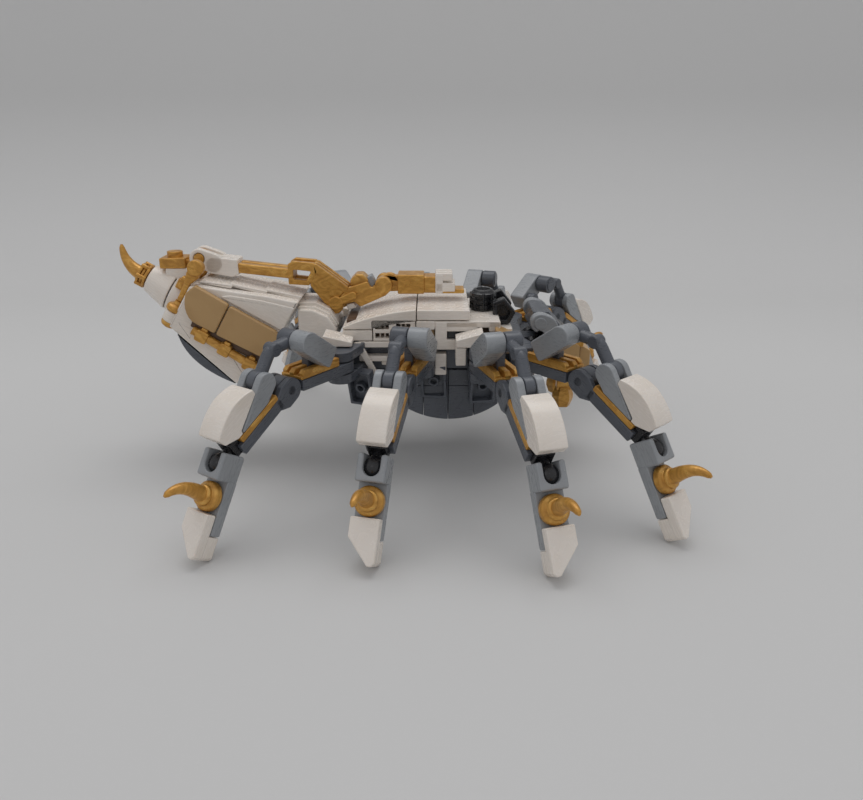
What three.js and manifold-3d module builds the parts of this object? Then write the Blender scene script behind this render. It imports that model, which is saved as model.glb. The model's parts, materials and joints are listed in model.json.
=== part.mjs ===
// Eight-legged spider robot assembled from studded building bricks: a dark hull and chassis carrying
// eight folding legs, a white back, a raised abdomen with a horn, an arm folded over the back, and a head.
// Millimetres. +X points to the head, +Y to the robot's left, +Z up; the feet stand on z = 0.
import * as THREE from 'three';
import { mergeVertices } from 'three/addons/utils/BufferGeometryUtils.js';
import Module from 'manifold-3d';

const wasm = await Module();
wasm.setup();

// ---- driving dimensions ------------------------------------------------------------------------
const STUD = 8; // brick grid pitch
const PLATE = 3.2; // height of one plate
const GAP = 0.3; // air between neighbouring pieces
const HALF_WIDTH = STUD / 2 - 0.1; // half the width of a one-stud-wide piece
const ROUND_SIDES = 8; // sides of pins, eyes and round ends

const CENTRE_X = 11.6; // body centre measured from the middle of the overall length
const HIP_Z = 37;

// A leg lies in its own upright plane: x outwards from the hip pin, y across, z up.
const FEMUR_LENGTH = 24; // hip pin to knee pin
const SHIN_LENGTH = 27; // knee pin to ankle ball
const SHIN_DROP = THREE.MathUtils.degToRad(31); // shin slope below the horizontal
const FOOT_LENGTH = 24.5; // ankle ball to the toe's end
const FOOT_INNER = STUD / 2; // the foot's inner face behind the ball
const FOOT_OUTER = 1.8; // the foot's outer face ahead of the ball
const STRUT_FOOT = new THREE.Vector2(12.6, 7.8); // strut pin on the femur
const STRUT_HEAD = new THREE.Vector2(19, 12.4); // pin between strut and link
const LINK_ELBOW = new THREE.Vector2(27.5, 11.4);
const STRUT_INNER = 1.6; // the strut stands beside the leg's middle plane
const STRUT_OUTER = 6.9;
const LINK_FOOT = new THREE.Vector2(5.1, 7.9); // open pin on the shin, in the shin's own frame

const PIN_RADIUS = 1.5;
const PIN_HOLE = 1.9;
const EYE_RADIUS = 2.6; // tongues of the strut linkage
const EYE_HALF = 1.3;
const SLOT_HALF = 1.6; // slots that take those tongues
const CHEEK_RADIUS = 3.1; // forks around those tongues
const SLOT_RADIUS = 4.4;
const OPEN_HOLE = 2.3; // the open pivot's hole, with room for the linkage's drift
const KNEE_RADIUS = 3.4;
const KNEE_EYE_HALF = 1.9;
const KNEE_EAR_INNER = 2.2;
const KNEE_REACH = 4.3; // nearest full-width material to the knee pin
const BALL_RADIUS = 2.95;
const SOCKET_RADIUS = 3.5;
const NECK_RADIUS = 1.6; // the ball's neck
const NECK_LENGTH = 6.5;

// Hips of the robot's right side from front to rear: place on the chassis, and yaw of the leg away from
// straight sideways, positive towards the head.
const HIPS = [
  { x: 27.5, y: 18.5, yaw: 42 },
  { x: 15, y: 24, yaw: 17 },
  { x: -3, y: 19, yaw: -14 },
  { x: -27, y: 24, yaw: -35 },
];

const HIP_PLATE = 3; // hinge plates above and below each femur
const HIP_INNER = PLATE / 2 + GAP;
const CHASSIS = { rear: -27, front: 29, half: 12 };
const CHASSIS_LOW = HIP_Z - HIP_INNER - HIP_PLATE;
const CHASSIS_TOP = HIP_Z + HIP_INNER + HIP_PLATE;
const HULL_CENTRE = new THREE.Vector2(5.5, 40.6); // middle of the hull's round underside
const HULL_RADIUS = 25.8;
const SHELL_HALF = 2 * STUD - GAP;
const DECK_Z = CHASSIS_TOP + GAP + 6; // flat top of the back shell, under the tile
const TILE_TOP = DECK_Z + GAP + PLATE - 0.1;

const ABDOMEN_TILT = THREE.MathUtils.degToRad(30);
const TAIL = new THREE.Vector2(-82.2, 54.5); // centre of the abdomen's rear end
const ABDOMEN_LENGTH = 38.5;
const ABDOMEN_HALF = 12;
const WAIST = new THREE.Vector2(-38, 36); // pin between chassis and abdomen

const BOOM_PIN = new THREE.Vector2(-71.8, 65);
const LINK_PIN = new THREE.Vector2(-30.5, 50.2);
const GRIP_PIN = new THREE.Vector2(-15, 56.6);
const GRIPPER_LOW = 53.8; // the gripper's underside, clear of the back tile

const NECK_PIN = new THREE.Vector2(33, 37.5);
const FANG_PIN = new THREE.Vector2(42.6, 28.2);
const FANG_Y = 6.4;
const JAW_PIN = new THREE.Vector2(33.5, 46.5);
const JAW_Y = 10.1;

// ---- colours -----------------------------------------------------------------------------------
const plastic = (color) => new THREE.MeshStandardMaterial({ color, roughness: 0.35, metalness: 0 });
const WHITE = plastic(0xe6e3dd);
const LIGHT_GREY = plastic(0x8e949a);
const DARK_GREY = plastic(0x4a4e56);
const BLACK = plastic(0x1c1d20);
const TAN = plastic(0x8f7446);
const GOLD = new THREE.MeshStandardMaterial({ color: 0xb07a2c, roughness: 0.4, metalness: 0.35 });

// ---- solid helpers -----------------------------------------------------------------------------
function toSolid(geometry) {
  const bare = geometry.clone();
  bare.deleteAttribute('normal');
  bare.deleteAttribute('uv');
  const merged = mergeVertices(bare, 1e-4);
  const vertProperties = merged.attributes.position.array;
  return new wasm.Manifold(new wasm.Mesh({ numProp: 3, vertProperties, triVerts: merged.index.array }));
}

function fromSolid(solid) {
  const mesh = solid.getMesh();
  const geometry = new THREE.BufferGeometry();
  geometry.setAttribute('position', new THREE.BufferAttribute(mesh.vertProperties, 3));
  geometry.setIndex(new THREE.BufferAttribute(mesh.triVerts, 1));
  return geometry;
}

function union(...pieces) {
  return fromSolid(pieces.map(toSolid).reduce((whole, piece) => whole.add(piece)));
}

function subtract(body, ...tools) {
  return fromSolid(tools.map(toSolid).reduce((whole, tool) => whole.subtract(tool), toSolid(body)));
}

// A box from its lowest to its highest corner.
function block(x0, x1, y0, y1, z0, z1) {
  const box = new THREE.BoxGeometry(x1 - x0, y1 - y0, z1 - z0);
  return box.translate((x0 + x1) / 2, (y0 + y1) / 2, (z0 + z1) / 2);
}

// An outline in x and z, extruded across y from y0 to y1.
function slab(shape, y0, y1, curveSegments = 2) {
  const geometry = new THREE.ExtrudeGeometry(shape, { depth: y1 - y0, bevelEnabled: false, curveSegments });
  return geometry.rotateX(Math.PI / 2).translate(0, y1, 0);
}

// An outline in x and y, extruded upwards from z0 to z1.
function plate(shape, z0, z1, curveSegments = 2) {
  const geometry = new THREE.ExtrudeGeometry(shape, { depth: z1 - z0, bevelEnabled: false, curveSegments });
  return geometry.translate(0, 0, z0);
}

function crossPin(at, radius, y0, y1, sides = ROUND_SIDES) {
  const pin = new THREE.CylinderGeometry(radius, radius, y1 - y0, sides);
  return pin.translate(at.x, (y0 + y1) / 2, at.y);
}

function uprightPin(x, y, radius, z0, z1, topRadius = radius, sides = ROUND_SIDES) {
  const pin = new THREE.CylinderGeometry(topRadius, radius, z1 - z0, sides);
  return pin.rotateX(Math.PI / 2).translate(x, y, (z0 + z1) / 2);
}

function polygon(...points) {
  return new THREE.Shape(points.map(([x, y]) => new THREE.Vector2(x, y)));
}

// A strip with round ends between two points.
function stadium(from, to, radius) {
  const heading = Math.atan2(to.y - from.y, to.x - from.x);
  const shape = new THREE.Shape();
  shape.absarc(from.x, from.y, radius, heading + Math.PI / 2, heading + 1.5 * Math.PI, false);
  shape.absarc(to.x, to.y, radius, heading - Math.PI / 2, heading + Math.PI / 2, false);
  return shape;
}

// ---- assembly ----------------------------------------------------------------------------------
const robot = new THREE.Group();
robot.position.x = CENTRE_X;

function addMesh(parent, name, geometry, material) {
  const mesh = new THREE.Mesh(geometry, material);
  mesh.name = name;
  parent.add(mesh);
}

// ---- legs --------------------------------------------------------------------------------------
const ORIGIN = new THREE.Vector2(0, 0);
const KNEE = new THREE.Vector2(FEMUR_LENGTH, 0);
const ANKLE_Z = HIP_Z - SHIN_LENGTH * Math.sin(SHIN_DROP);
// Tilt of the lower leg away from the vertical that sets the toe's inner corner on the floor.
const FOOT_TILT =
  Math.acos(ANKLE_Z / Math.hypot(FOOT_LENGTH, FOOT_INNER)) + Math.atan2(FOOT_INNER, FOOT_LENGTH);

// Orders the two faces of a piece that stands `inner` to `outer` from the middle plane on one side.
function facesOn(side, inner, outer) {
  return [side * inner, side * outer].sort((a, b) => a - b);
}

// Hinge beam from the hip pin to the knee, with a tile on top and a lug whose pin carries the strut.
function femurGeometry(strutSide) {
  const beam = block(0, FEMUR_LENGTH - KNEE_REACH, -HALF_WIDTH, HALF_WIDTH, -PLATE / 2, PLATE / 2);
  const barrel = uprightPin(0, 0, STUD / 2, -PLATE / 2, PLATE / 2);
  const tongueRoot = new THREE.Vector2(FEMUR_LENGTH - 6, 0);
  const kneeEye = slab(stadium(tongueRoot, KNEE, PLATE / 2), -KNEE_EYE_HALF, KNEE_EYE_HALF);
  const kneeHub = crossPin(KNEE, KNEE_RADIUS, -KNEE_EYE_HALF, KNEE_EYE_HALF);
  const lugRoot = new THREE.Vector2(STRUT_FOOT.x, 0);
  const lug = slab(stadium(lugRoot, STRUT_FOOT, EYE_RADIUS), -EYE_HALF, EYE_HALF);
  const lugTrim = block(STRUT_FOOT.x - 3, STRUT_FOOT.x + 3, -STUD, STUD, -STUD, -PLATE / 2);
  const tileEnd = FEMUR_LENGTH - KNEE_REACH;
  const tile = block(4.6, tileEnd, -HALF_WIDTH, HALF_WIDTH, PLATE / 2 - 0.2, PLATE / 2 + 1.8);
  const strutPin = crossPin(STRUT_FOOT, PIN_RADIUS, ...facesOn(strutSide, 0, STRUT_OUTER - 0.4));
  const whole = union(beam, barrel, kneeEye, kneeHub, lug, tile, strutPin);
  return subtract(
    whole,
    lugTrim,
    uprightPin(0, 0, PIN_HOLE, -STUD, STUD),
    crossPin(KNEE, PIN_HOLE, -STUD, STUD),
  );
}

// Round-ended slab beside the lug, turning on the femur's pin and carrying the link's pin.
function strutGeometry(strutSide) {
  const faces = facesOn(strutSide, STRUT_INNER, STRUT_OUTER);
  const body = slab(stadium(STRUT_FOOT, STRUT_HEAD, CHEEK_RADIUS), ...faces);
  const pinFaces = facesOn(strutSide, -EYE_HALF - 0.6, STRUT_INNER + 1);
  const linkPin = crossPin(STRUT_HEAD, PIN_RADIUS, ...pinFaces);
  return subtract(union(body, linkPin), crossPin(STRUT_FOOT, PIN_HOLE, -STUD, STUD));
}

// Shin-frame coordinates: x along the shin, z out of its outer face, origin at the knee pin.
function shinToLeg(point) {
  return point.clone().rotateAround(ORIGIN, -SHIN_DROP).add(KNEE);
}

// Bent flat link between the strut and the shin. Its lower eye is the linkage's open pivot.
function linkGeometry() {
  const foot = shinToLeg(LINK_FOOT);
  const bar = union(
    slab(stadium(STRUT_HEAD, LINK_ELBOW, EYE_RADIUS), -EYE_HALF, EYE_HALF),
    slab(stadium(LINK_ELBOW, foot, EYE_RADIUS), -EYE_HALF, EYE_HALF),
    crossPin(foot, OPEN_HOLE + 0.9, -EYE_HALF, EYE_HALF),
  );
  return subtract(bar, crossPin(STRUT_HEAD, PIN_HOLE, -STUD, STUD), crossPin(foot, OPEN_HOLE, -STUD, STUD));
}

// Outer armour plate: a bowed back over a flat belly, set on the blade.
function armourShape() {
  const shape = new THREE.Shape();
  shape.moveTo(9.4, PLATE / 2 + 1.8);
  shape.lineTo(9.4, 10.4);
  shape.quadraticCurveTo(17.5, 13.4, 25, 8.6);
  shape.lineTo(24.2, 5.6);
  shape.lineTo(20, 3.4);
  return shape;
}

// Beam, strip, blade and armour stacked on one another, with the knee fork and the ankle ball.
function shinGeometry() {
  const beam = block(KNEE_REACH, 21.5, -HALF_WIDTH, HALF_WIDTH, -PLATE / 2, PLATE / 2);
  const strip = block(KNEE_REACH + 0.5, 20.2, -HALF_WIDTH, HALF_WIDTH, 0, PLATE / 2 + 1.8);
  const earShape = stadium(ORIGIN, new THREE.Vector2(KNEE_REACH + 2, 0), KNEE_RADIUS);
  const ears = [-1, 1].map((side) => slab(earShape, ...facesOn(side, KNEE_EAR_INNER, HALF_WIDTH)));
  const blade = union(
    slab(stadium(LINK_FOOT, new THREE.Vector2(10, 5), CHEEK_RADIUS), -HALF_WIDTH, HALF_WIDTH),
    slab(polygon([LINK_FOOT.x - 2.6, 3], [18, 3], [18, 4.2], [10, 8.1], [5.1, 8]), -HALF_WIDTH, HALF_WIDTH),
  );
  const slottedBlade = subtract(blade, crossPin(LINK_FOOT, SLOT_RADIUS, -SLOT_HALF, SLOT_HALF));
  const armour = slab(armourShape(), -HALF_WIDTH, HALF_WIDTH, 4);
  const neck = new THREE.CylinderGeometry(NECK_RADIUS, NECK_RADIUS, NECK_LENGTH, ROUND_SIDES);
  neck.rotateZ(Math.PI / 2).translate(SHIN_LENGTH - NECK_LENGTH / 2 - 1.25, 0, 0);
  const ball = new THREE.SphereGeometry(BALL_RADIUS, 8, 6).translate(SHIN_LENGTH, 0, 0);
  return union(
    beam,
    strip,
    ...ears,
    slottedBlade,
    armour,
    neck,
    ball,
    crossPin(ORIGIN, PIN_RADIUS, -HALF_WIDTH, HALF_WIDTH),
    crossPin(LINK_FOOT, PIN_RADIUS, 0.5 - HALF_WIDTH, HALF_WIDTH - 0.5),
  );
}

// Curved claw in the foot's frame: root on the boss, tip out and drooping.
function clawShape() {
  const shape = new THREE.Shape();
  shape.moveTo(6.5, 4.2);
  shape.quadraticCurveTo(5, 10.2, 10.2, 14);
  shape.lineTo(11, 13.2);
  shape.quadraticCurveTo(8.3, 10, 10.2, 4.2);
  return shape;
}

// Ball socket, strip, pointed toe and claw. x runs down the lower leg from the ball, z out of its face.
// The toe's point is on the side of `pointSide` across the leg.
function footGeometry(pointSide) {
  const across = (value) => value * pointSide;
  const socket = block(-PLATE, 4, -HALF_WIDTH, HALF_WIDTH, -FOOT_INNER, 3.2);
  const cavity = new THREE.SphereGeometry(SOCKET_RADIUS, 8, 6);
  const mouth = block(-STUD, 0, -1.95, 1.95, -STUD, STUD);
  const cup = subtract(socket, cavity, mouth);
  const strip = block(3.5, 15, -HALF_WIDTH, HALF_WIDTH, -FOOT_INNER, PLATE - FOOT_INNER);
  const toe = plate(
    polygon(
      [11, across(HALF_WIDTH)],
      [FOOT_LENGTH - 1, across(HALF_WIDTH)],
      [FOOT_LENGTH, across(HALF_WIDTH - 1.2)],
      [FOOT_LENGTH, across(HALF_WIDTH - 2.6)],
      [17.8, across(-HALF_WIDTH)],
      [11, across(-HALF_WIDTH)],
    ),
    -FOOT_INNER,
    FOOT_OUTER,
  );
  const boss = uprightPin(8.6, 0, STUD / 2 - 0.1, PLATE - FOOT_INNER - 0.3, 4.8);
  const claw = slab(clawShape(), -PIN_RADIUS, PIN_RADIUS, 5);
  return union(cup, strip, toe, boss, claw);
}

function addLeg(side, index, hip) {
  const prefix = `leg_${side > 0 ? 'l' : 'r'}${index + 1}`;
  const leg = new THREE.Group();
  leg.position.set(hip.x, side * hip.y, HIP_Z);
  leg.rotation.z = side * THREE.MathUtils.degToRad(90 - hip.yaw);
  const shin = new THREE.Group();
  shin.position.set(KNEE.x, 0, KNEE.y);
  shin.rotation.y = SHIN_DROP;
  const foot = new THREE.Group();
  const ankle = shinToLeg(new THREE.Vector2(SHIN_LENGTH, 0));
  foot.position.set(ankle.x, 0, ankle.y);
  foot.rotation.y = Math.PI / 2 - FOOT_TILT;
  leg.add(shin, foot);
  // The toe's point and the strut are on the side of the robot's middle, seen along x.
  const pointSide = side * Math.sign(hip.yaw);
  addMesh(leg, `${prefix}_femur`, femurGeometry(pointSide), DARK_GREY);
  addMesh(leg, `${prefix}_strut`, strutGeometry(pointSide), LIGHT_GREY);
  addMesh(leg, `${prefix}_link`, linkGeometry(), DARK_GREY);
  addMesh(shin, `${prefix}_shin`, shinGeometry(), WHITE);
  addMesh(foot, `${prefix}_foot`, footGeometry(pointSide), LIGHT_GREY);
  robot.add(leg);
}

for (const side of [-1, 1]) {
  HIPS.forEach((hip, index) => addLeg(side, index, hip));
}

// ---- hull and chassis --------------------------------------------------------------------------
// Dark belly: a segment of a round under the chassis.
function hullGeometry() {
  const half = Math.acos((HULL_CENTRE.y - CHASSIS_LOW + GAP) / HULL_RADIUS);
  const down = -Math.PI / 2;
  const shape = new THREE.Shape();
  shape.absarc(HULL_CENTRE.x, HULL_CENTRE.y, HULL_RADIUS, down - half, down + half, false);
  return slab(shape, 0.5 - CHASSIS.half, CHASSIS.half - 0.5, 10);
}

// Central block with two hinge plates and a pin for every hip, a waist tongue and a neck tongue.
function chassisGeometry() {
  const pieces = [block(CHASSIS.rear, CHASSIS.front, -CHASSIS.half, CHASSIS.half, CHASSIS_LOW, CHASSIS_TOP)];
  for (const side of [-1, 1]) {
    for (const hip of HIPS) {
      const root = new THREE.Vector2(THREE.MathUtils.clamp(hip.x, -22, 24), side * (CHASSIS.half - 3));
      const arm = stadium(root, new THREE.Vector2(hip.x, side * hip.y), STUD / 2);
      pieces.push(plate(arm, CHASSIS_LOW, CHASSIS_LOW + HIP_PLATE));
      pieces.push(plate(arm, CHASSIS_TOP - HIP_PLATE, CHASSIS_TOP));
      pieces.push(uprightPin(hip.x, side * hip.y, PIN_RADIUS, CHASSIS_LOW + 0.5, CHASSIS_TOP - 0.5));
    }
  }
  const waistRoot = new THREE.Vector2(CHASSIS.rear + 4, WAIST.y);
  const neckRoot = new THREE.Vector2(CHASSIS.front - 4, NECK_PIN.y);
  const waist = slab(stadium(waistRoot, WAIST, KNEE_RADIUS), -3.6, 3.6);
  const neck = slab(stadium(neckRoot, NECK_PIN, EYE_RADIUS), -3.6, 3.6);
  return subtract(
    union(...pieces, waist, neck),
    crossPin(WAIST, PIN_HOLE, -STUD, STUD),
    crossPin(NECK_PIN, PIN_HOLE, -STUD, STUD),
  );
}

// White back: a bowed rear slope, a low deck under the tile, and a front shelf.
function backShellGeometry() {
  const low = CHASSIS_TOP + GAP;
  const shape = new THREE.Shape();
  shape.moveTo(CHASSIS.rear, low);
  shape.lineTo(CHASSIS.rear, low + 4);
  shape.quadraticCurveTo(-16, TILE_TOP - 0.6, -4.6, TILE_TOP);
  shape.lineTo(-4.6, DECK_Z);
  shape.lineTo(21, DECK_Z);
  shape.lineTo(21, DECK_Z - PLATE);
  shape.lineTo(25, DECK_Z - PLATE);
  shape.lineTo(25, low);
  return slab(shape, -SHELL_HALF, SHELL_HALF);
}

addMesh(robot, 'hull', hullGeometry(), DARK_GREY);
addMesh(robot, 'chassis', chassisGeometry(), DARK_GREY);
addMesh(robot, 'back_shell', backShellGeometry(), WHITE);
addMesh(robot, 'back_tile', block(-4.3, 11.6, -SHELL_HALF, SHELL_HALF, DECK_Z + GAP, TILE_TOP), WHITE);

// Ribbed round stack on the deck.
function turretGeometry() {
  const low = DECK_Z + GAP;
  const rings = [0.7, 2.5, 4.3].map((rise) => uprightPin(16.4, 0, 4.1, low + rise, low + rise + 1.1));
  return union(uprightPin(16.4, 0, 3.7, low, low + 6.4), ...rings);
}
addMesh(robot, 'turret', turretGeometry(), BLACK);

// ---- head --------------------------------------------------------------------------------------
function pairOfEars(shape, inner, outer) {
  return union(slab(shape, inner, outer), slab(shape, -outer, -inner));
}

// Head block with a fork around the neck tongue, jaw posts at its sides and a lug below for the fangs.
function headGeometry() {
  const ears = pairOfEars(stadium(NECK_PIN, new THREE.Vector2(40, NECK_PIN.y), 3.1), 3.9, 7.8);
  const skullShape = polygon([36.8, 33], [36.8, 43.5], [40, 45], [46.5, 39.5], [46.5, 31], [41, 31]);
  const skull = slab(skullShape, -7.8, 7.8);
  const brow = slab(polygon([30.8, 43.6], [31.6, 49.4], [36.5, 49.4], [42, 43], [36.8, 41]), -7.8, 7.8);
  const jawPins = crossPin(JAW_PIN, PIN_RADIUS, -JAW_Y - 1.4, JAW_Y + 1.4);
  const lugRoot = new THREE.Vector2(FANG_PIN.x - 0.5, 32);
  const lug = slab(stadium(lugRoot, FANG_PIN, EYE_RADIUS), 2.2 - FANG_Y, FANG_Y - 2.2);
  const pins = crossPin(FANG_PIN, PIN_RADIUS, 0.5 - FANG_Y - 1.6, FANG_Y + 1.6 - 0.5);
  return union(ears, skull, brow, jawPins, lug, pins, crossPin(NECK_PIN, PIN_RADIUS, -7, 7));
}

// Curved jaw: an eye on the head's side pin and a hooked arm that curves forwards and down.
function jawGeometry() {
  const shape = new THREE.Shape();
  shape.absarc(0, 0, 3, Math.PI * 0.5, Math.PI * 1.4, false);
  shape.quadraticCurveTo(2.4, -3.2, 1.4, -8.4);
  shape.lineTo(4.6, -8.4);
  shape.quadraticCurveTo(8.2, 1.4, 0, 3);
  return subtract(slab(shape, -1.9, 1.9), crossPin(ORIGIN, PIN_HOLE, -STUD, STUD));
}

// Hanging fang: an eye around the head's pin and a pointed six-sided tooth.
function fangGeometry() {
  const eye = slab(stadium(ORIGIN, new THREE.Vector2(0, -4), 2.4), -1.6, 1.6);
  const tooth = uprightPin(0, 0, 1.6, -10.6, -7.4, 3.3, 6);
  const root = uprightPin(0, 0, 3.3, -7.4, -3.8, 2.4, 6);
  return subtract(union(eye, root, tooth), crossPin(ORIGIN, PIN_HOLE, -STUD, STUD));
}

const faceShape = polygon([46.8, 31.4], [46.8, 38.8], [50.6, 36.4], [50.6, 30.2], [48, 30.2]);
const facePlate = slab(faceShape, -STUD + 0.2, STUD - 0.2);
addMesh(robot, 'head', headGeometry(), BLACK);
addMesh(robot, 'face_plate', facePlate, TAN);

for (const side of [-1, 1]) {
  const suffix = side > 0 ? 'left' : 'right';
  const fang = new THREE.Group();
  fang.position.set(FANG_PIN.x, side * (FANG_Y + 0.2), FANG_PIN.y);
  addMesh(fang, `fang_${suffix}`, fangGeometry(), GOLD);
  const jaw = new THREE.Group();
  jaw.position.set(JAW_PIN.x, side * JAW_Y, JAW_PIN.y);
  addMesh(jaw, `jaw_${suffix}`, jawGeometry(), LIGHT_GREY);
  robot.add(fang, jaw);
}

// ---- abdomen -----------------------------------------------------------------------------------
// Its own frame starts at the tail: x runs forwards and down along the abdomen, z out of its back.
const abdomen = new THREE.Group();
abdomen.position.set(TAIL.x, 0, TAIL.y);
abdomen.rotation.y = ABDOMEN_TILT;
robot.add(abdomen);

function toAbdomen(point) {
  return point.clone().sub(TAIL).rotateAround(ORIGIN, ABDOMEN_TILT);
}

// An outline given in the body's x and z, for a piece of the abdomen.
function outlineOnAbdomen(...points) {
  return new THREE.Shape(points.map(([x, z]) => toAbdomen(new THREE.Vector2(x, z))));
}

// White shell with a waist fork and a blunt nose in front, and a tongue for the boom on its back.
// The nose is low in the middle, under the arm.
function abdomenShellGeometry() {
  const back = [[6, 8], [16, 11.4], [27, 16], [ABDOMEN_LENGTH - 1.5, 19.2]];
  const belly = [[ABDOMEN_LENGTH, -5], [31.4, -13.8], [8, -7.8], [6, -7.3]];
  const core = slab(polygon(...back, ...belly), -ABDOMEN_HALF, ABDOMEN_HALF);
  const rearEnd = slab(polygon([0.3, -6.5], [0.3, 6.5], [8, 8], [8, -7.6], [3, -7]), -7.6, 7.6);
  const brow = [[-41.5, 53], [-36.5, 52.4], [-32, 50], [-28.2, 44.6]];
  const cheek = outlineOnAbdomen([-47, 40.4], ...brow, [-28.2, 40.4]);
  const cheeks = pairOfEars(cheek, 4.5, 10.5);
  const bridge = slab(outlineOnAbdomen([-47, 40.4], [-43, 46], [-28.2, 44.6], [-28.2, 40.4]), -5, 5);
  const waist = toAbdomen(WAIST);
  const boom = toAbdomen(BOOM_PIN);
  const ears = pairOfEars(stadium(new THREE.Vector2(ABDOMEN_LENGTH - 4, waist.y), waist, 3.4), 3.9, 7.8);
  const tongue = slab(stadium(new THREE.Vector2(boom.x + 1.5, 5), boom, EYE_RADIUS), -EYE_HALF, EYE_HALF);
  const waistPin = crossPin(waist, PIN_RADIUS, -7, 7);
  const whole = union(core, rearEnd, cheeks, bridge, ears, tongue, waistPin);
  return subtract(whole, crossPin(boom, PIN_HOLE, -STUD, STUD));
}

// Dark crescent under the abdomen.
function keelGeometry() {
  const shape = new THREE.Shape();
  shape.moveTo(8.4, -8.3);
  shape.lineTo(31.2, -14.2);
  shape.quadraticCurveTo(15.4, -17, 8.4, -8.3);
  return slab(shape, 1 - ABDOMEN_HALF, ABDOMEN_HALF - 1, 8);
}

// Two tan plates in a row on the abdomen's side.
function sidePlateGeometry(side) {
  const faces = facesOn(side, ABDOMEN_HALF + GAP, ABDOMEN_HALF + GAP + 2.2);
  const rear = slab(polygon([6.2, 0], [6.2, 6.2], [7.8, 9.5], [20, 9.2], [20, -1.3], [11, -1.2]), ...faces);
  const front = slab(polygon([19.5, -1.4], [19.5, 9], [34.8, 8.8], [36.8, 7.3], [36.6, -0.8]), ...faces);
  return union(rear, front);
}

// Tail cap: a cone frustum with the horn's seat, a ring and a small studded plate on top.
function tailCapGeometry() {
  const lean = (piece) => piece.rotateY(-Math.PI / 2);
  return union(
    lean(uprightPin(0, 0, 6.5, 0, 7.6, 4.3)),
    block(-7.4, 0, -3.9, 3.9, 3.5, 8.4),
    uprightPin(-3.3, 0, 2.4, 8.2, 10),
  );
}

// Curved horn: a base ring and a tapering point that sweeps up and back.
function hornGeometry() {
  const flange = uprightPin(0, 0, 3.9, 0, 1.4).rotateY(-Math.PI / 2).translate(-7.9, 0, 0);
  const shape = new THREE.Shape();
  shape.moveTo(-8.4, -2.8);
  shape.quadraticCurveTo(-17, -0.8, -20.6, 5.6);
  shape.lineTo(-20, 6.1);
  shape.quadraticCurveTo(-14.5, 2.6, -8.4, 2.8);
  return union(flange, slab(shape, -1.9, 1.9));
}

addMesh(abdomen, 'abdomen_shell', abdomenShellGeometry(), WHITE);
addMesh(abdomen, 'abdomen_keel', keelGeometry(), DARK_GREY);
addMesh(abdomen, 'side_plate_left', sidePlateGeometry(1), TAN);
addMesh(abdomen, 'side_plate_right', sidePlateGeometry(-1), TAN);
addMesh(abdomen, 'tail_cap', tailCapGeometry(), WHITE);
addMesh(abdomen, 'tail_horn', hornGeometry(), GOLD);

// ---- arm over the back -------------------------------------------------------------------------
// Boom: fork on the abdomen's tongue, two rods, an open frame and a bent end with a slot.
function boomGeometry() {
  const forkShape = stadium(BOOM_PIN, new THREE.Vector2(-66.5, 63.2), CHEEK_RADIUS);
  const fork = pairOfEars(forkShape, SLOT_HALF, HALF_WIDTH);
  const root = slab(polygon([-67.6, 60.4], [-67.6, 66.4], [-60, 64.8], [-60, 59.4]), -HALF_WIDTH, HALF_WIDTH);
  const rodShape = polygon([-61, 60.4], [-61, 63.4], [-42.5, 60.9], [-42.5, 57.9]);
  const rods = [-2.4, 2.4].map((y) => slab(rodShape, y - 1.5, y + 1.5));
  const frameShape = polygon([-43.5, 57], [-43.5, 63], [-38, 62.2], [-30, 54.5], [-34.5, 48.8]);
  const frame = slab(frameShape, -HALF_WIDTH, HALF_WIDTH);
  const end = slab(stadium(new THREE.Vector2(-36, 55.5), LINK_PIN, CHEEK_RADIUS), -HALF_WIDTH, HALF_WIDTH);
  const slotted = subtract(
    union(frame, end),
    crossPin(LINK_PIN, SLOT_RADIUS + 0.4, -SLOT_HALF, SLOT_HALF),
    block(-30, -20, -SLOT_HALF, SLOT_HALF, 44, 60),
  );
  return union(
    fork,
    root,
    ...rods,
    slotted,
    crossPin(BOOM_PIN, PIN_RADIUS, 0.5 - HALF_WIDTH, HALF_WIDTH - 0.5),
    crossPin(LINK_PIN, PIN_RADIUS, 0.5 - HALF_WIDTH, HALF_WIDTH - 0.5),
  );
}

// Gold link: narrow eye at its rear end, wide slotted end in front.
function armLinkGeometry() {
  const bar = slab(stadium(LINK_PIN, GRIP_PIN, EYE_RADIUS), -EYE_HALF, EYE_HALF);
  const middle = new THREE.Vector2().lerpVectors(LINK_PIN, GRIP_PIN, 0.42);
  const wide = slab(stadium(middle, GRIP_PIN, CHEEK_RADIUS), -HALF_WIDTH, HALF_WIDTH);
  const slotted = subtract(union(bar, wide), crossPin(GRIP_PIN, SLOT_RADIUS, -SLOT_HALF, SLOT_HALF));
  return subtract(
    union(slotted, crossPin(GRIP_PIN, PIN_RADIUS, 0.5 - HALF_WIDTH, HALF_WIDTH - 0.5)),
    crossPin(LINK_PIN, PIN_HOLE, -STUD, STUD),
  );
}

// Gripper: eye, two gold blocks and a three-fingered hand.
function gripperGeometry() {
  const tongue = slab(stadium(GRIP_PIN, new THREE.Vector2(-9, GRIP_PIN.y), EYE_RADIUS), -EYE_HALF, EYE_HALF);
  const blocks = [
    block(-10.8, -2.2, -HALF_WIDTH, HALF_WIDTH, GRIPPER_LOW, 60.6),
    block(-2.6, 1.4, 0.6 - HALF_WIDTH, HALF_WIDTH - 0.6, GRIPPER_LOW + 0.2, 60),
  ];
  const fingers = [-2.9, 0, 2.9].map((y) => block(1, 7.6, y - 1.1, y + 1.1, GRIPPER_LOW + 0.2, 60.8));
  const palm = block(1, 3.2, -4, 4, GRIPPER_LOW + 0.2, 60.4);
  return subtract(union(tongue, ...blocks, palm, ...fingers), crossPin(GRIP_PIN, PIN_HOLE, -STUD, STUD));
}

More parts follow.
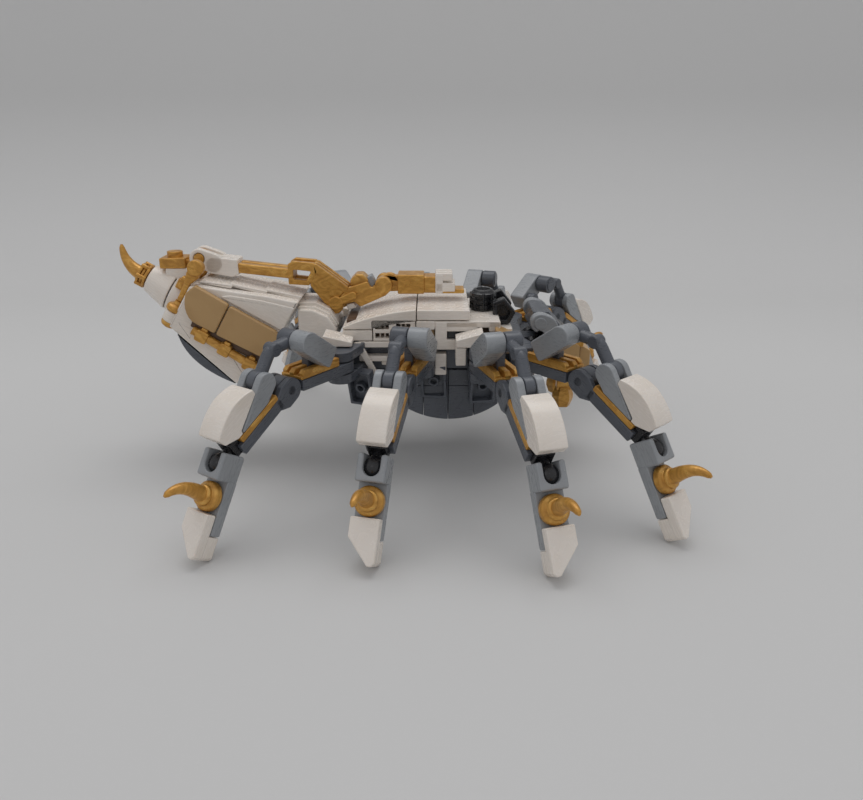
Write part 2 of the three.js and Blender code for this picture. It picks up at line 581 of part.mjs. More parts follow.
addMesh(robot, 'boom', boomGeometry(), GOLD);
addMesh(robot, 'arm_link', armLinkGeometry(), GOLD);
addMesh(robot, 'gripper', gripperGeometry(), GOLD);

export default robot;
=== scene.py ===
"""Looks of the eight-legged brick spider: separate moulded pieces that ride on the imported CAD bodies.

Lengths in the building functions are millimetres in a frame of the piece's own; placing a piece turns
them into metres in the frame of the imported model.
"""

import json
import math

import bmesh
import bpy
from mathutils import Matrix, Vector


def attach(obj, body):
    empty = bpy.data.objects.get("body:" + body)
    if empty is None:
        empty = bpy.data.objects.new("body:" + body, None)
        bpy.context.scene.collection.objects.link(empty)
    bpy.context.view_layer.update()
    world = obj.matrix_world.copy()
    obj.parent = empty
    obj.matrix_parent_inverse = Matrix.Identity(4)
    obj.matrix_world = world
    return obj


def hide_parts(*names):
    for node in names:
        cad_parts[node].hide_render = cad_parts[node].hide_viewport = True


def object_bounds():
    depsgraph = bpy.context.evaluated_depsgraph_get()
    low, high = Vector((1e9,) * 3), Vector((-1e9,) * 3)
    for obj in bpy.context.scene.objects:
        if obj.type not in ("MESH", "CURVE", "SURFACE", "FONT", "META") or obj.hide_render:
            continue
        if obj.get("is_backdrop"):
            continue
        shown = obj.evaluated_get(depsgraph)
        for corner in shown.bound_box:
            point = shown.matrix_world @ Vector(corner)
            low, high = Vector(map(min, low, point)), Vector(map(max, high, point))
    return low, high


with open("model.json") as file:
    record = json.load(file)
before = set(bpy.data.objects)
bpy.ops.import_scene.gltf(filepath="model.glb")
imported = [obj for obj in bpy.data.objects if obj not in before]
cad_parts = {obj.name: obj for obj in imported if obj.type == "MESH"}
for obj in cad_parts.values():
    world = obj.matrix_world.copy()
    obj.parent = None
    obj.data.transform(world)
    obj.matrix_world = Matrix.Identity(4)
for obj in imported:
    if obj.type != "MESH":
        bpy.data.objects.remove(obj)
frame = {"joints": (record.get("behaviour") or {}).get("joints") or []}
cad_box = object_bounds()

# ---- dimensions, in millimetres ----------------------------------------------------------------
MM = 0.001
HALF = 3.9  # half the width of a one-stud-wide piece
PIN = 1.5  # radius of a joint's pin
RIM = 0.28  # rounding where a face meets a side
CORNER = 0.45  # rounding of the corners of an outline
ROUND = 28  # steps round a full circle
CENTRE_X = 11.6  # body centre measured from the middle of the overall length
BACK_HALF = 15.7  # half the width of the white back
ABDOMEN_TAIL = (-82.2, 54.5)  # centre of the abdomen's rear end, x and z
ABDOMEN_TILT = math.radians(30)
NECK = (33, 37.5)  # joint centres on the body, x and z
WAIST = (-38, 36)
FANG_PIN = (42.6, 28.2)
BOOM_PIN = (-71.8, 65.0)
LINK_PIN = (-30.5, 50.2)
GRIP_PIN = (-15.0, 56.6)
SHIN_LENGTH = 27.0
FOOT_LENGTH = 24.5
FOOT_INNER = 4.0
STRUT_FOOT = Vector((12.6, 7.8))  # the linkage's points, in the femur's frame
STRUT_HEAD = Vector((19.0, 12.4))
LINK_ELBOW = Vector((27.5, 11.4))
LINK_FOOT = Vector((5.1, 7.9))  # in the shin's frame
KNEE = Vector((24.0, 0.0))
SHIN_DROP = math.radians(31)
CLAW_STEPS = 14  # sections along a claw or the horn
BALL = 2.95  # radius of the ankle's ball
BALL_STEPS = 14
NOTCH = 2.2  # half the width of the socket's notch
HULL_CENTRE = Vector((5.5, 40.6))
HULL_RADIUS = 25.8
SIDES = ((-1, "right"), (1, "left"))

JOINTS = {joint["name"]: Vector(joint["pos_m"]) for joint in frame["joints"]}
UP = Vector((0, 0, 1))


# ---- outlines ----------------------------------------------------------------------------------
def outline(*pairs):
    return [Vector(pair) for pair in pairs]


def rectangle(x0, x1, z0, z1):
    return outline((x0, z0), (x1, z0), (x1, z1), (x0, z1))


def arc(centre, radius, start, end, steps=10):
    """Points on an arc, both ends included, angles in degrees."""
    angles = [math.radians(start + (end - start) * step / steps) for step in range(steps + 1)]
    x, z = centre
    return [Vector((x + radius * math.cos(angle), z + radius * math.sin(angle))) for angle in angles]


def circle(centre, radius, steps=ROUND):
    return arc(centre, radius, 0, 360, steps)[:-1]


def stadium(start, end, radius, steps=10):
    heading = math.degrees(math.atan2(end[1] - start[1], end[0] - start[0]))
    near = arc(start, radius, heading + 90, heading + 270, steps)
    return near + arc(end, radius, heading - 90, heading + 90, steps)


def bow(start, control, end, steps=8):
    """Points along a curve that leaves start towards control and ends at end."""
    start, control, end = Vector(start), Vector(control), Vector(end)
    curve = []
    for step in range(steps + 1):
        t = step / steps
        curve.append(start * (1 - t) ** 2 + control * 2 * t * (1 - t) + end * t**2)
    return curve


def signed_area(loop):
    return sum(a.x * b.y - b.x * a.y for a, b in zip(loop, loop[1:] + loop[:1])) / 2


def wound(loop, counter_clockwise):
    return loop if (signed_area(loop) > 0) == counter_clockwise else loop[::-1]


def softened(loop, radius):
    """The outline with its sharp corners rounded."""
    rounded = []
    for index, here in enumerate(loop):
        before = here - loop[index - 1]
        after = loop[(index + 1) % len(loop)] - here
        turn = before.angle(after, 0)
        if turn < math.radians(24):
            rounded.append(here)
            continue
        cut = min(radius * math.tan(turn / 2), 0.4 * before.length, 0.4 * after.length)
        start = here - before.normalized() * cut
        end = here + after.normalized() * cut
        rounded.extend(bow(start, here, end, 3))
    return rounded


def moved_in(loop, amount):
    """The outline moved towards its left side by amount."""
    moved = []
    for index, here in enumerate(loop):
        before = (here - loop[index - 1]).normalized()
        after = (loop[(index + 1) % len(loop)] - here).normalized()
        normal = Vector((-before.y - after.y, before.x + after.x))
        moved.append(here + normal * (amount / max(0.4, 1 + before.dot(after))))
    return moved


# ---- pieces ------------------------------------------------------------------------------------
RIM_STEPS = ((1.0, 0.0), (0.3, 0.3), (0.0, 1.0))  # inset and depth of a rounded rim, in rim radii
PLACES = {
    "x": lambda p, q, depth: Vector((depth, p, q)),
    "y": lambda p, q, depth: Vector((p, depth, q)),
    "z": lambda p, q, depth: Vector((p, q, depth)),
}


class Piece:
    """One moulded piece: closed solids with rounded edges."""

    def __init__(self):
        self.mesh = bmesh.new()

    def strips(self, rings):
        """Joins rings of vertices, each to the next."""
        for lower, upper in zip(rings, rings[1:]):
            for index in range(len(lower)):
                self.mesh.faces.new((lower[index - 1], lower[index], upper[index], upper[index - 1]))

    def prism(self, loop, near, far, axis="y", holes=(), rim=RIM, corner=CORNER):
        """An outline extruded along an axis from near to far, with rounded rims."""
        near, far = sorted((near, far))
        rim = min(rim, (far - near) * 0.45)
        levels = [(near + rim * depth, rim * inset) for inset, depth in RIM_STEPS]
        levels += [(far - rim * depth, rim * inset) for inset, depth in reversed(RIM_STEPS)]
        place = PLACES[axis]
        ends = ([], [])
        loops = [(softened(wound(loop, True), corner), True)]
        loops += [(softened(wound(hole, False), corner), False) for hole in holes]
        for points, _ in loops:
            rings = []
            for level, amount in levels:
                ring = [place(point.x, point.y, level) for point in moved_in(points, amount)]
                rings.append([self.mesh.verts.new(point) for point in ring])
            self.strips(rings)
            ends[0].append(rings[0])
            ends[1].append(rings[-1])
        for rings in ends:
            if len(rings) == 1:
                self.mesh.faces.new(rings[0])
            else:
                pairs = [(ring[i - 1], ring[i]) for ring in rings for i in range(len(ring))]
                edges = [self.mesh.edges.get(pair) for pair in pairs]
                bmesh.ops.triangle_fill(self.mesh, edges=edges, use_beauty=True)
        return self

    def box(self, x0, x1, y0, y1, z0, z1, **options):
        return self.prism(rectangle(x0, x1, z0, z1), y0, y1, **options)

    def disc(self, centre, radius, near, far, axis="y", **options):
        return self.prism(circle(centre, radius), near, far, axis, **options)

    def lathe(self, profile, centre=(0, 0), axis="z", steps=ROUND):
        """A profile of (radius, height) points, turned round an axis and closed at both ends."""
        place = PLACES[axis]
        rings = []
        for radius, height in profile:
            ring = [place(point.x, point.y, height) for point in circle(centre, max(radius, 0.01), steps)]
            rings.append([self.mesh.verts.new(point) for point in ring])
        self.strips(rings)
        self.mesh.faces.new(rings[0])
        self.mesh.faces.new(rings[-1])
        return self

    def tube(self, path, radii, steps=16):
        """A round bar along a path in three dimensions, with a radius for each point."""
        path = [Vector(point) for point in path]
        rings = []
        side = None
        for index, here in enumerate(path):
            ahead = path[min(index + 1, len(path) - 1)]
            behind = path[max(index - 1, 0)]
            along = (ahead - behind).normalized()
            if side is None:
                side = along.orthogonal().normalized()
            side = (side - along * side.dot(along)).normalized()
            other = along.cross(side)
            angles = [2 * math.pi * step / steps for step in range(steps)]
            ring = [here + (side * math.cos(a) + other * math.sin(a)) * radii[index] for a in angles]
            rings.append([self.mesh.verts.new(point) for point in ring])
        self.strips(rings)
        self.mesh.faces.new(rings[0])
        self.mesh.faces.new(rings[-1])
        return self

    def studs(self, *places, height=1.7):
        """Round studs at (x, y, z) places."""
        for x, y, z in places:
            self.disc((x, y), 2.4, z - 0.3, z + height, "z")
        return self

    def place(self, name, where, body, slot, *nodes):
        """Ends the piece: puts it in a frame, on a CAD body, in place of CAD nodes."""
        bmesh.ops.recalc_face_normals(self.mesh, faces=self.mesh.faces)
        bmesh.ops.scale(self.mesh, vec=(MM, MM, MM), verts=self.mesh.verts)
        data = bpy.data.meshes.new(name)
        self.mesh.to_mesh(data)
        self.mesh.free()
        data.shade_smooth()
        data.set_sharp_from_angle(angle=math.radians(50))
        data.materials.append(MATERIALS[slot])
        piece = bpy.data.objects.new(name, data)
        bpy.context.collection.objects.link(piece)
        piece.matrix_world = where
        normals = piece.modifiers.new("normals", "WEIGHTED_NORMAL")
        normals.keep_sharp = True
        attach(piece, body)
        if nodes:
            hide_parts(*nodes)
        return piece


# ---- materials ---------------------------------------------------------------------------------
def noise(tree, scale, detail=2.0, distortion=0.0, squash=None):
    """A noise texture over the piece's own coordinates, which are metres."""
    place = tree.nodes.new("ShaderNodeTexCoord")
    texture = tree.nodes.new("ShaderNodeTexNoise")
    texture.inputs["Scale"].default_value = scale
    texture.inputs["Detail"].default_value = detail
    texture.inputs["Distortion"].default_value = distortion
    source = place.outputs["Object"]
    if squash:
        stretch = tree.nodes.new("ShaderNodeMapping")
        stretch.inputs["Scale"].default_value = squash
        tree.links.new(source, stretch.inputs["Vector"])
        source = stretch.outputs["Vector"]
    tree.links.new(source, texture.inputs["Vector"])
    return texture.outputs["Fac"]


def ramp(tree, source, stops):
    """Colours spread over a value: stops are (place, colour)."""
    node = tree.nodes.new("ShaderNodeValToRGB")
    elements = node.color_ramp.elements
    while len(elements) < len(stops):
        elements.new(0.5)
    for element, (place, colour) in zip(elements, stops):
        element.position = place
        element.color = (*colour, 1)
    tree.links.new(source, node.inputs["Fac"])
    return node.outputs["Color"]


def spread(tree, source, low, high, result_low, result_high):
    node = tree.nodes.new("ShaderNodeMapRange")
    node.inputs["From Min"].default_value = low
    node.inputs["From Max"].default_value = high
    node.inputs["To Min"].default_value = result_low
    node.inputs["To Max"].default_value = result_high
    tree.links.new(source, node.inputs["Value"])
    return node.outputs["Result"]


def bump(tree, source, strength, distance, under=None):
    node = tree.nodes.new("ShaderNodeBump")
    node.inputs["Strength"].default_value = strength
    node.inputs["Distance"].default_value = distance
    tree.links.new(source, node.inputs["Height"])
    if under:
        tree.links.new(under, node.inputs["Normal"])
    return node.outputs["Normal"]


def speckled(tree, colour, dust, amount):
    """The colour with rare specks of dust."""
    specks = spread(tree, noise(tree, 2300, 1.0), 0.74, 0.78, 0.0, amount)
    mix = tree.nodes.new("ShaderNodeMix")
    mix.data_type = "RGBA"
    tree.links.new(specks, mix.inputs["Factor"])
    tree.links.new(colour, mix.inputs["A"])
    mix.inputs["B"].default_value = (*dust, 1)
    return mix.outputs["Result"]


def moulded_plastic(name, colour, shade, roughness, dust=0.3, scatter=0.0):
    """Glossy moulded plastic: slow colour drift, flow waves, fine grain, faint scuffs and dust."""
    material = bpy.data.materials.new(name)
    material.use_nodes = True
    tree = material.node_tree
    shader = tree.nodes["Principled BSDF"]
    shader.inputs["IOR"].default_value = 1.53
    shader.inputs["Subsurface Weight"].default_value = scatter
    shader.inputs["Subsurface Radius"].default_value = (0.0012, 0.001, 0.0008)
    shader.inputs["Subsurface Scale"].default_value = 1.0
    drift = noise(tree, 95, 3.0, 0.6)
    tint = ramp(tree, drift, ((0.3, shade), (0.62, colour)))
    tree.links.new(speckled(tree, tint, (0.55, 0.53, 0.5), dust), shader.inputs["Base Color"])
    scuffs = noise(tree, 420, 4.0, 0.4, (1, 1, 6))
    rough = spread(tree, scuffs, 0.35, 0.75, roughness, roughness + 0.16)
    tree.links.new(rough, shader.inputs["Roughness"])
    waves = bump(tree, noise(tree, 110, 1.0), 0.08, 0.0003)
    grain = bump(tree, noise(tree, 5200, 2.0), 0.07, 0.00002, waves)
    tree.links.new(grain, shader.inputs["Normal"])
    return material


def pearl_plastic(name, bright, middle, deep, roughness):
    """Pearl gold: swirls of bright and deep flow lines, metallic flakes and a soft sheen."""
    material = bpy.data.materials.new(name)
    material.use_nodes = True
    tree = material.node_tree
    shader = tree.nodes["Principled BSDF"]
    shader.inputs["Metallic"].default_value = 0.38
    shader.inputs["IOR"].default_value = 1.53
    flow = noise(tree, 150, 4.0, 2.4, (1, 1, 2.2))
    tint = ramp(tree, flow, ((0.3, deep), (0.5, middle), (0.72, bright)))
    flakes = spread(tree, noise(tree, 7000, 1.0), 0.56, 0.7, 0.0, 0.35)
    mix = tree.nodes.new("ShaderNodeMix")
    mix.data_type = "RGBA"
    tree.links.new(flakes, mix.inputs["Factor"])
    tree.links.new(tint, mix.inputs["A"])
    mix.inputs["B"].default_value = (*bright, 1)
    tree.links.new(mix.outputs["Result"], shader.inputs["Base Color"])
    rough = spread(tree, flow, 0.3, 0.7, roughness + 0.1, roughness)
    tree.links.new(rough, shader.inputs["Roughness"])
    waves = bump(tree, flow, 0.09, 0.0002)
    grain = bump(tree, noise(tree, 6000, 2.0), 0.08, 0.00002, waves)
    tree.links.new(grain, shader.inputs["Normal"])
    return material


MATERIALS = {
    "white": moulded_plastic("white_plastic", (0.80, 0.735, 0.665), (0.76, 0.69, 0.61), 0.2, 0.12, 0.08),
    "light_grey": moulded_plastic("light_grey_plastic", (0.30, 0.315, 0.33), (0.26, 0.272, 0.285), 0.24),
    "dark_grey": moulded_plastic("dark_grey_plastic", (0.095, 0.104, 0.122), (0.074, 0.081, 0.096), 0.26),
    "black": moulded_plastic("black_plastic", (0.011, 0.011, 0.013), (0.007, 0.007, 0.009), 0.2, 0.2),
    "tan": moulded_plastic("tan_plastic", (0.47, 0.29, 0.12), (0.41, 0.245, 0.095), 0.28, 0.12),
    # Painted shade: a dark brown that stands in for the shade in recesses, below the abdomen's tan tiles and
    # inside the back.
    "shade_brown": moulded_plastic("brown_painted_shade", (0.10, 0.05, 0.022), (0.075, 0.036, 0.015), 0.3, 0.15),
    "gold": pearl_plastic("pearl_gold", (0.74, 0.42, 0.10), (0.55, 0.275, 0.05), (0.40, 0.185, 0.03), 0.27),
}


# ---- frames ------------------------------------------------------------------------------------
def axes_frame(origin, x_axis, y_axis):
    """A frame in metres at origin, with unit axes."""
    turn = Matrix((x_axis, y_axis, x_axis.cross(y_axis))).transposed()
    return Matrix.Translation(origin) @ turn.to_4x4()


BODY = Matrix.Translation((CENTRE_X * MM, 0, 0))
TAIL = Matrix.Translation(Vector((CENTRE_X + ABDOMEN_TAIL[0], 0, ABDOMEN_TAIL[1])) * MM)
ABDOMEN = TAIL @ Matrix.Rotation(ABDOMEN_TILT, 4, "Y")


class Leg:
    """A leg's frames: x runs out along it, y across, z out of its upper face."""

    def __init__(self, prefix):
        self.prefix = prefix
        hip, knee, ankle = (JOINTS[f"{prefix}_{joint}"] for joint in ("hip", "knee", "ankle"))
        out = (knee - hip).normalized()
        across = UP.cross(out)
        shin = (ankle - knee).normalized()
        reach = math.hypot(FOOT_LENGTH, FOOT_INNER) * MM
        tilt = math.acos(ankle.z / reach) + math.atan2(FOOT_INNER, FOOT_LENGTH)
        foot = out * math.sin(tilt) - UP * math.cos(tilt)
        self.femur = axes_frame(hip, out, across)
        self.shin = axes_frame(knee, shin, across)
        self.foot = axes_frame(ankle, foot, across)
        # The strut and the toe's point are on the side of the robot's middle, seen along x.
        self.inner = -1 if across.x * out.x > 0 else 1


# ---- legs --------------------------------------------------------------------------------------
def upright(path):
    """A path in the plane of x and z, as points in three dimensions."""
    return [(point.x, 0, point.y) for point in path]


def tapered(root, power, tip):
    """Radii along a claw, from its root to its blunt point."""
    return [root * (1 - step / CLAW_STEPS) ** power + tip for step in range(CLAW_STEPS)] + [0.35]


def grille_tile(x0, x1, low, high):
    """Grille tile: a base, three ribs along it, and a low bar across its inner end."""
    piece = Piece()
    piece.box(x0, x1, -HALF, HALF, low, low + 1.1)
    for middle in (-3.0, 0.0, 3.0):
        end = x1 - 0.6 * abs(middle) / 3
        rib = outline((x0, low + 0.6), (end, low + 0.6), (end, high - 0.9), (end - 1.0, high), (x0, high))
        piece.prism(rib, middle - 0.85, middle + 0.85, rim=0.22)
    piece.box(x0, x0 + 1.2, -HALF, HALF, low + 0.6, high - 1.0)
    return piece


def femur_pieces(leg):
    body = f"{leg.prefix}_femur"
    where = leg.femur
    beam = Piece()
    plan = arc((0, 0), HALF, 90, 270, 12) + outline((19.7, -HALF), (19.7, HALF))
    beam.prism(plan, -1.6, 1.6, "z", holes=[circle((0, 0), 1.9, 20)])
    beam.prism(outline((15.4, -1.6), (19.6, -1.6), (23, -3.2), (23, 0), (19, 1.6)), -1.9, 1.9)
    beam.disc(KNEE, 3.4, -1.9, 1.9)
    beam.place(f"{leg.prefix}_femur_beam", where, body, "dark_grey", body)
    tile = grille_tile(4.6, 20.2, 1.7, 4.3)
    tile.place(f"{leg.prefix}_femur_grille", where, body, "gold")
    lug = Piece()
    lug.prism(stadium((STRUT_FOOT.x, 3.2), STRUT_FOOT, 2.2), -1.25, 1.25)
    lug.disc(STRUT_FOOT, PIN, 0, leg.inner * 6.4, rim=0.2)
    lug.place(f"{leg.prefix}_strut_lug", where, body, "dark_grey")


def strut_pieces(leg):
    """Slab that stands on the femur: square at its foot, round at its head."""
    body = f"{leg.prefix}_strut"
    along = (STRUT_HEAD - STRUT_FOOT).normalized()
    side = Vector((-along.y, along.x))
    half = 3.1
    foot = STRUT_FOOT - along * 2.7
    heading = math.degrees(math.atan2(along.y, along.x))
    profile = arc(STRUT_HEAD, half, heading - 90, heading + 90, 14)
    profile += [foot + side * half, foot - side * half]
    slab = Piece()
    slab.prism(profile, leg.inner * 1.6, leg.inner * 7.2, rim=0.4, corner=0.9)
    slab.disc(STRUT_HEAD, PIN, leg.inner * -3.0, leg.inner * 1.9, rim=0.3)
    slab.place(f"{body}_slab", leg.femur, body, "light_grey", body)


def link_pieces(leg):
    """Bent link from the strut's head over the elbow to the blade's cheeks."""
    body = f"{leg.prefix}_link"
    foot = KNEE + Matrix.Rotation(-SHIN_DROP, 2) @ LINK_FOOT
    link = Piece()
    path = [STRUT_HEAD, STRUT_HEAD.lerp(LINK_ELBOW, 0.72)]
    path += bow(STRUT_HEAD.lerp(LINK_ELBOW, 0.8), LINK_ELBOW, foot.lerp(LINK_ELBOW, 0.78), 5)
    path.append(foot)
    link.tube(upright(path), [1.75] * len(path), 20)
    link.disc(LINK_ELBOW.lerp(STRUT_HEAD, 0.12), 1.9, -1.9, 1.9, rim=0.5)
    link.disc(STRUT_HEAD, 2.95, leg.inner * 1.4, -leg.inner * 3.3, rim=0.45)
    link.disc(STRUT_HEAD, 2.2, leg.inner * -3.0, -leg.inner * 3.6, rim=0.2)
    link.disc(foot, 2.9, -1.45, 1.45, rim=0.4)
    link.place(f"{body}_arm", leg.femur, body, "dark_grey", body)


def shin_pieces(leg):
    body = f"{leg.prefix}_shin"
    where = leg.shin
    beam = Piece()
    beam.prism(outline((4.3, -1.6), (21.5, -1.6), (21.5, 1.6), (4.3, 1.6)), -HALF, HALF)
    for side, _ in SIDES:
        ear = arc((0, 0), 3.5, 90, 270, 14) + outline((3.2, -3.5), (6.2, -1.6), (6.2, 1.6), (2.4, 3.5))
        beam.prism(ear, side * 2.2, side * HALF, corner=0.8)
    beam.disc((0, 0), PIN, -HALF, HALF)
    beam.place(f"{leg.prefix}_shin_beam", where, body, "dark_grey", body)

    strip = Piece().box(4.8, 20.2, -HALF, HALF, 1.7, 3.5)
    strip.place(f"{leg.prefix}_shin_strip", where, body, "gold")

    cheek = arc(LINK_FOOT, 3.0, 62, 232, 16) + outline((8.0, 3.6), (18.4, 3.6), (18.4, 4.3), (10.2, 8.6))
    blade = Piece()
    for side, _ in SIDES:
        blade.prism(cheek, side * 1.65, side * HALF, rim=0.35)
    blade.prism(outline((9.7, 3.6), (18.4, 3.6), (18.4, 4.3), (10.2, 8.6), (9.7, 8.7)), -1.8, 1.8)
    blade.disc(LINK_FOOT, 1.4, -3.6, 3.6)
    blade.place(f"{leg.prefix}_shin_blade", where, body, "light_grey")

    crown = bow((9.5, 10.6), (13.0, 12.2), (16.6, 12.0), 5)
    crown += bow((16.6, 12.0), (21.5, 11.2), (25.2, 8.4), 6)[1:]
    seat = outline((24.4, 5.6), (20.4, 3.7), (18.6, 3.7), (18.6, 4.7), (9.5, 9.0))
    armour = Piece().prism(crown + seat, -HALF, HALF, rim=0.35)
    armour.place(f"{leg.prefix}_shin_armour", where, body, "white")

    joint = Piece()
    joint.box(20.4, 23.4, -2.6, 2.6, -1.2, 3.6)
    joint.tube(((22, 0, 0), (24, 0, 0), (26, 0, 0)), (1.8, 1.7, 1.7))
    turns = [math.pi * step / BALL_STEPS for step in range(BALL_STEPS + 1)]
    ball = [(BALL * math.sin(turn), -BALL * math.cos(turn)) for turn in turns]
    joint.lathe([(radius, height + SHIN_LENGTH) for radius, height in ball], axis="x")
    joint.place(f"{leg.prefix}_ankle_ball", where, body, "black")


BOSS_PROFILE = (
    (0.0, -0.8), (3.6, -0.8), (3.95, -0.4), (3.95, 1.0), (3.6, 1.4), (2.9, 1.5),
    (2.7, 1.8), (2.9, 2.4), (2.7, 2.9), (2.2, 3.2), (0.0, 3.3),
)


def foot_pieces(leg):
    body = f"{leg.prefix}_foot"
    where = leg.foot
    lip = -3.2
    notch_end = 0.3
    plan = outline((lip, HALF), (4.0, HALF), (4.0, -HALF), (lip, -HALF))
    plan += outline((lip, -NOTCH), (notch_end, -NOTCH))
    plan += arc((notch_end, 0), NOTCH, -90, 90, 10)[1:-1]
    plan += outline((notch_end, NOTCH), (lip, NOTCH))
    socket = Piece()
    socket.prism(plan, -FOOT_INNER, 3.2, "z", rim=0.5, corner=0.7)
    socket.place(f"{leg.prefix}_foot_socket", where, body, "light_grey", body)

    strip = Piece()
    strip.box(3.6, 18.0, -HALF, HALF, -FOOT_INNER, -0.9)
    strip.disc((8.6, 0), 2.4, -1.2, 0.2, "z")
    strip.place(f"{leg.prefix}_foot_strip", where, body, "light_grey")

    inner = leg.inner
    edge = inner * HALF
    tip = outline((FOOT_LENGTH - 0.9, edge), (FOOT_LENGTH, inner * 3.1), (FOOT_LENGTH, inner * 1.9))
    front = outline((12.7, edge)) + tip + outline((17.8, -edge), (12.7, -edge))
    back = outline((18.2, edge)) + tip + outline((18.2, -inner * 3.5))
    toe = Piece()
    toe.prism(front, -0.7, 2.4, "z", rim=0.4)
    toe.prism(back, -FOOT_INNER, -0.4, "z", rim=0.4)
    toe.place(f"{leg.prefix}_foot_toe", where, body, "white")

    claw = Piece().lathe(BOSS_PROFILE, (8.6, 0))
    path = bow((8.5, 2.6), (6.2, 10.6), (10.6, 13.9), CLAW_STEPS)
    claw.tube(upright(path), tapered(1.55, 0.8, 0.62))
    claw.place(f"{leg.prefix}_foot_claw", where, body, "gold")


LEGS = [Leg(f"leg_{side}{index}") for side in "rl" for index in (1, 2, 3, 4)]
for leg in LEGS:
    femur_pieces(leg)
    strut_pieces(leg)
    link_pieces(leg)
    shin_pieces(leg)
    foot_pieces(leg)


# ---- hull and chassis --------------------------------------------------------------------------
def belly(x):
    """Height of the hull's round underside at x."""
    return HULL_CENTRE.y - math.sqrt(HULL_RADIUS**2 - (x - HULL_CENTRE.x) ** 2)


def hull_course(name, x0, x1, top, bottom=None, half=11.6):
    """A run of the hull between two seams; without a bottom it follows the round underside."""
    if bottom is None:
        steps = 8
        places = [x0 + (x1 - x0) * step / steps for step in range(steps + 1)]
        low = [Vector((x, belly(x))) for x in places]
    else:
        low = outline((x0, bottom), (x1, bottom))
    piece = Piece().prism(low + outline((x1, top), (x0, top)), -half, half, rim=0.2, corner=0.2)
    piece.place(name, BODY, "chassis", "dark_grey")


hull = Piece()
hull.box(-20, 27.5, -10.8, 10.8, 27.5, 31.8)
hull.place("hull_core", BODY, "chassis", "dark_grey", "hull")
SEAMS = (-18.2, -10.6, -2.6, 5.3, 13.4, 21.2, 28.0)
SEAM_GAP = 0.07
DEEP_COURSES = range(1, 5)  # two courses high, the others one
for index, (x0, x1) in enumerate(zip(SEAMS, SEAMS[1:])):
    x0, x1 = x0 + SEAM_GAP, x1 - SEAM_GAP
    hull_course(f"hull_curve_{index}", x0, x1, 26.2 if index in DEEP_COURSES else 31.5)
    if index in DEEP_COURSES:
        hull_course(f"hull_course_{index}", x0, x1, 31.6, 26.35, 11.9)

core = Piece()
core.box(-27, 29, -12, 12, 32.1, 41.9, rim=0.3)
core.place("chassis_core", BODY, "chassis", "dark_grey", "chassis")

waist_tongue = Piece().prism(stadium((-24, 36), WAIST, 3.3), -3.5, 3.5)
waist_tongue.place("waist_tongue", BODY, "chassis", "dark_grey")
neck_tongue = Piece().prism(stadium((26, 37.5), NECK, 2.6), -3.5, 3.5)
neck_tongue.place("neck_tongue", BODY, "chassis", "dark_grey")


def open_box(piece, x0, x1, z0, z1, wall, depth, floor):
    """An upturned brick seen from its open side: four walls, a floor and the tube inside."""
    opening = rectangle(x0 + wall, x1 - wall, z0 + wall, z1 - wall)
    piece.prism(rectangle(x0, x1, z0, z1), 0, depth, holes=[opening])
    piece.box(x0 + 0.3, x1 - 0.3, depth - floor, depth - 0.1, z0 + 0.3, z1 - 0.3)
    middle = ((x0 + x1) / 2, (z0 + z1) / 2)
    piece.prism(circle(middle, 1.7, 20), 0.3, depth - 0.3, holes=[circle(middle, 1.0, 16)])
    return piece


def hip_pieces(leg):
    """Hinge plates above and below the femur, the pin through them, and the bracket that carries them."""
    hip = (BODY.inverted() @ leg.femur.translation) / MM
    side = 1 if hip.y > 0 else -1
    root = Vector((min(max(hip.x, -22), 24), side * 9))
    arm = stadium(root, hip.xy, HALF)
    plates = Piece()
    plates.prism(arm, 32.2, 35.1, "z")
    plates.prism(arm, 38.9, 41.8, "z")
    plates.disc(hip.xy, PIN, 32.4, 41.6, "z")
    plates.place(f"{leg.prefix}_hip_plates", BODY, "chassis", "dark_grey")

    bracket = open_box(Piece(), -6.4, 1.6, -8.4, 3.4, 0.9, 3.2, 0.8)
    out = leg.femur.to_3x3() @ Vector((1, 0, 0))
    facing = Vector((out.x * 0.55, out.y, 0)).normalized()
    sideways = facing.cross(UP)
    lean = Matrix.Rotation(math.radians(-14), 3, sideways)
    turn = Matrix((sideways, lean @ -facing, lean @ UP)).transposed()
    place = Matrix.Translation(leg.femur.translation - out * 4.6 * MM - UP * 6.4 * MM) @ turn.to_4x4()
    bracket.place(f"{leg.prefix}_hip_bracket", place, "chassis", "dark_grey")


for leg in LEGS:
    hip_pieces(leg)


# White and tan slope bricks that cover the hips of the first, second and fourth legs.
HIP_SLOPES = (
    ("hip_slope_rear", "white", (-32.2, -23.6), (14.2, 22.4), 42.1, 45.6, 43.6),
    ("hip_slope_front", "white", (7.2, 15.4), (15.9, 23.4), 42.1, 44.4, 46.6),
    ("hip_slope_head", "tan", (19.2, 27.0), (12.2, 20.0), 42.1, 46.8, 43.4),
)
for name, slot, (x0, x1), (y0, y1), low, rear_top, front_top in HIP_SLOPES:
    for side, word in SIDES:
        slope = Piece()
        loop = outline((x0, low), (x1, low), (x1, front_top), (x0, rear_top))
        slope.prism(loop, side * y0, side * y1, rim=0.35)
        slope.place(f"{name}_{word}", BODY, "chassis", slot)


# ---- white back --------------------------------------------------------------------------------
def both_sides(name, slot, body, loop, inner, outer, where=BODY, **options):
    """The same piece on the robot's right and left, between two distances from its middle."""
    for side, word in SIDES:
        piece = Piece().prism(loop, side * inner, side * outer, **options)
        piece.place(f"{name}_{word}", where, body, slot)


back_loop = bow((-27, 46.4), (-16, 51.0), (-4.7, 51.7), 10)
back_loop += outline((-4.7, 48.1), (-17.8, 48.1), (-17.8, 45.6), (-27, 45.6))
slope = Piece().prism(back_loop, -BACK_HALF, BACK_HALF, rim=0.4)
slope.place("back_slope", BODY, "chassis", "white", "back_shell")

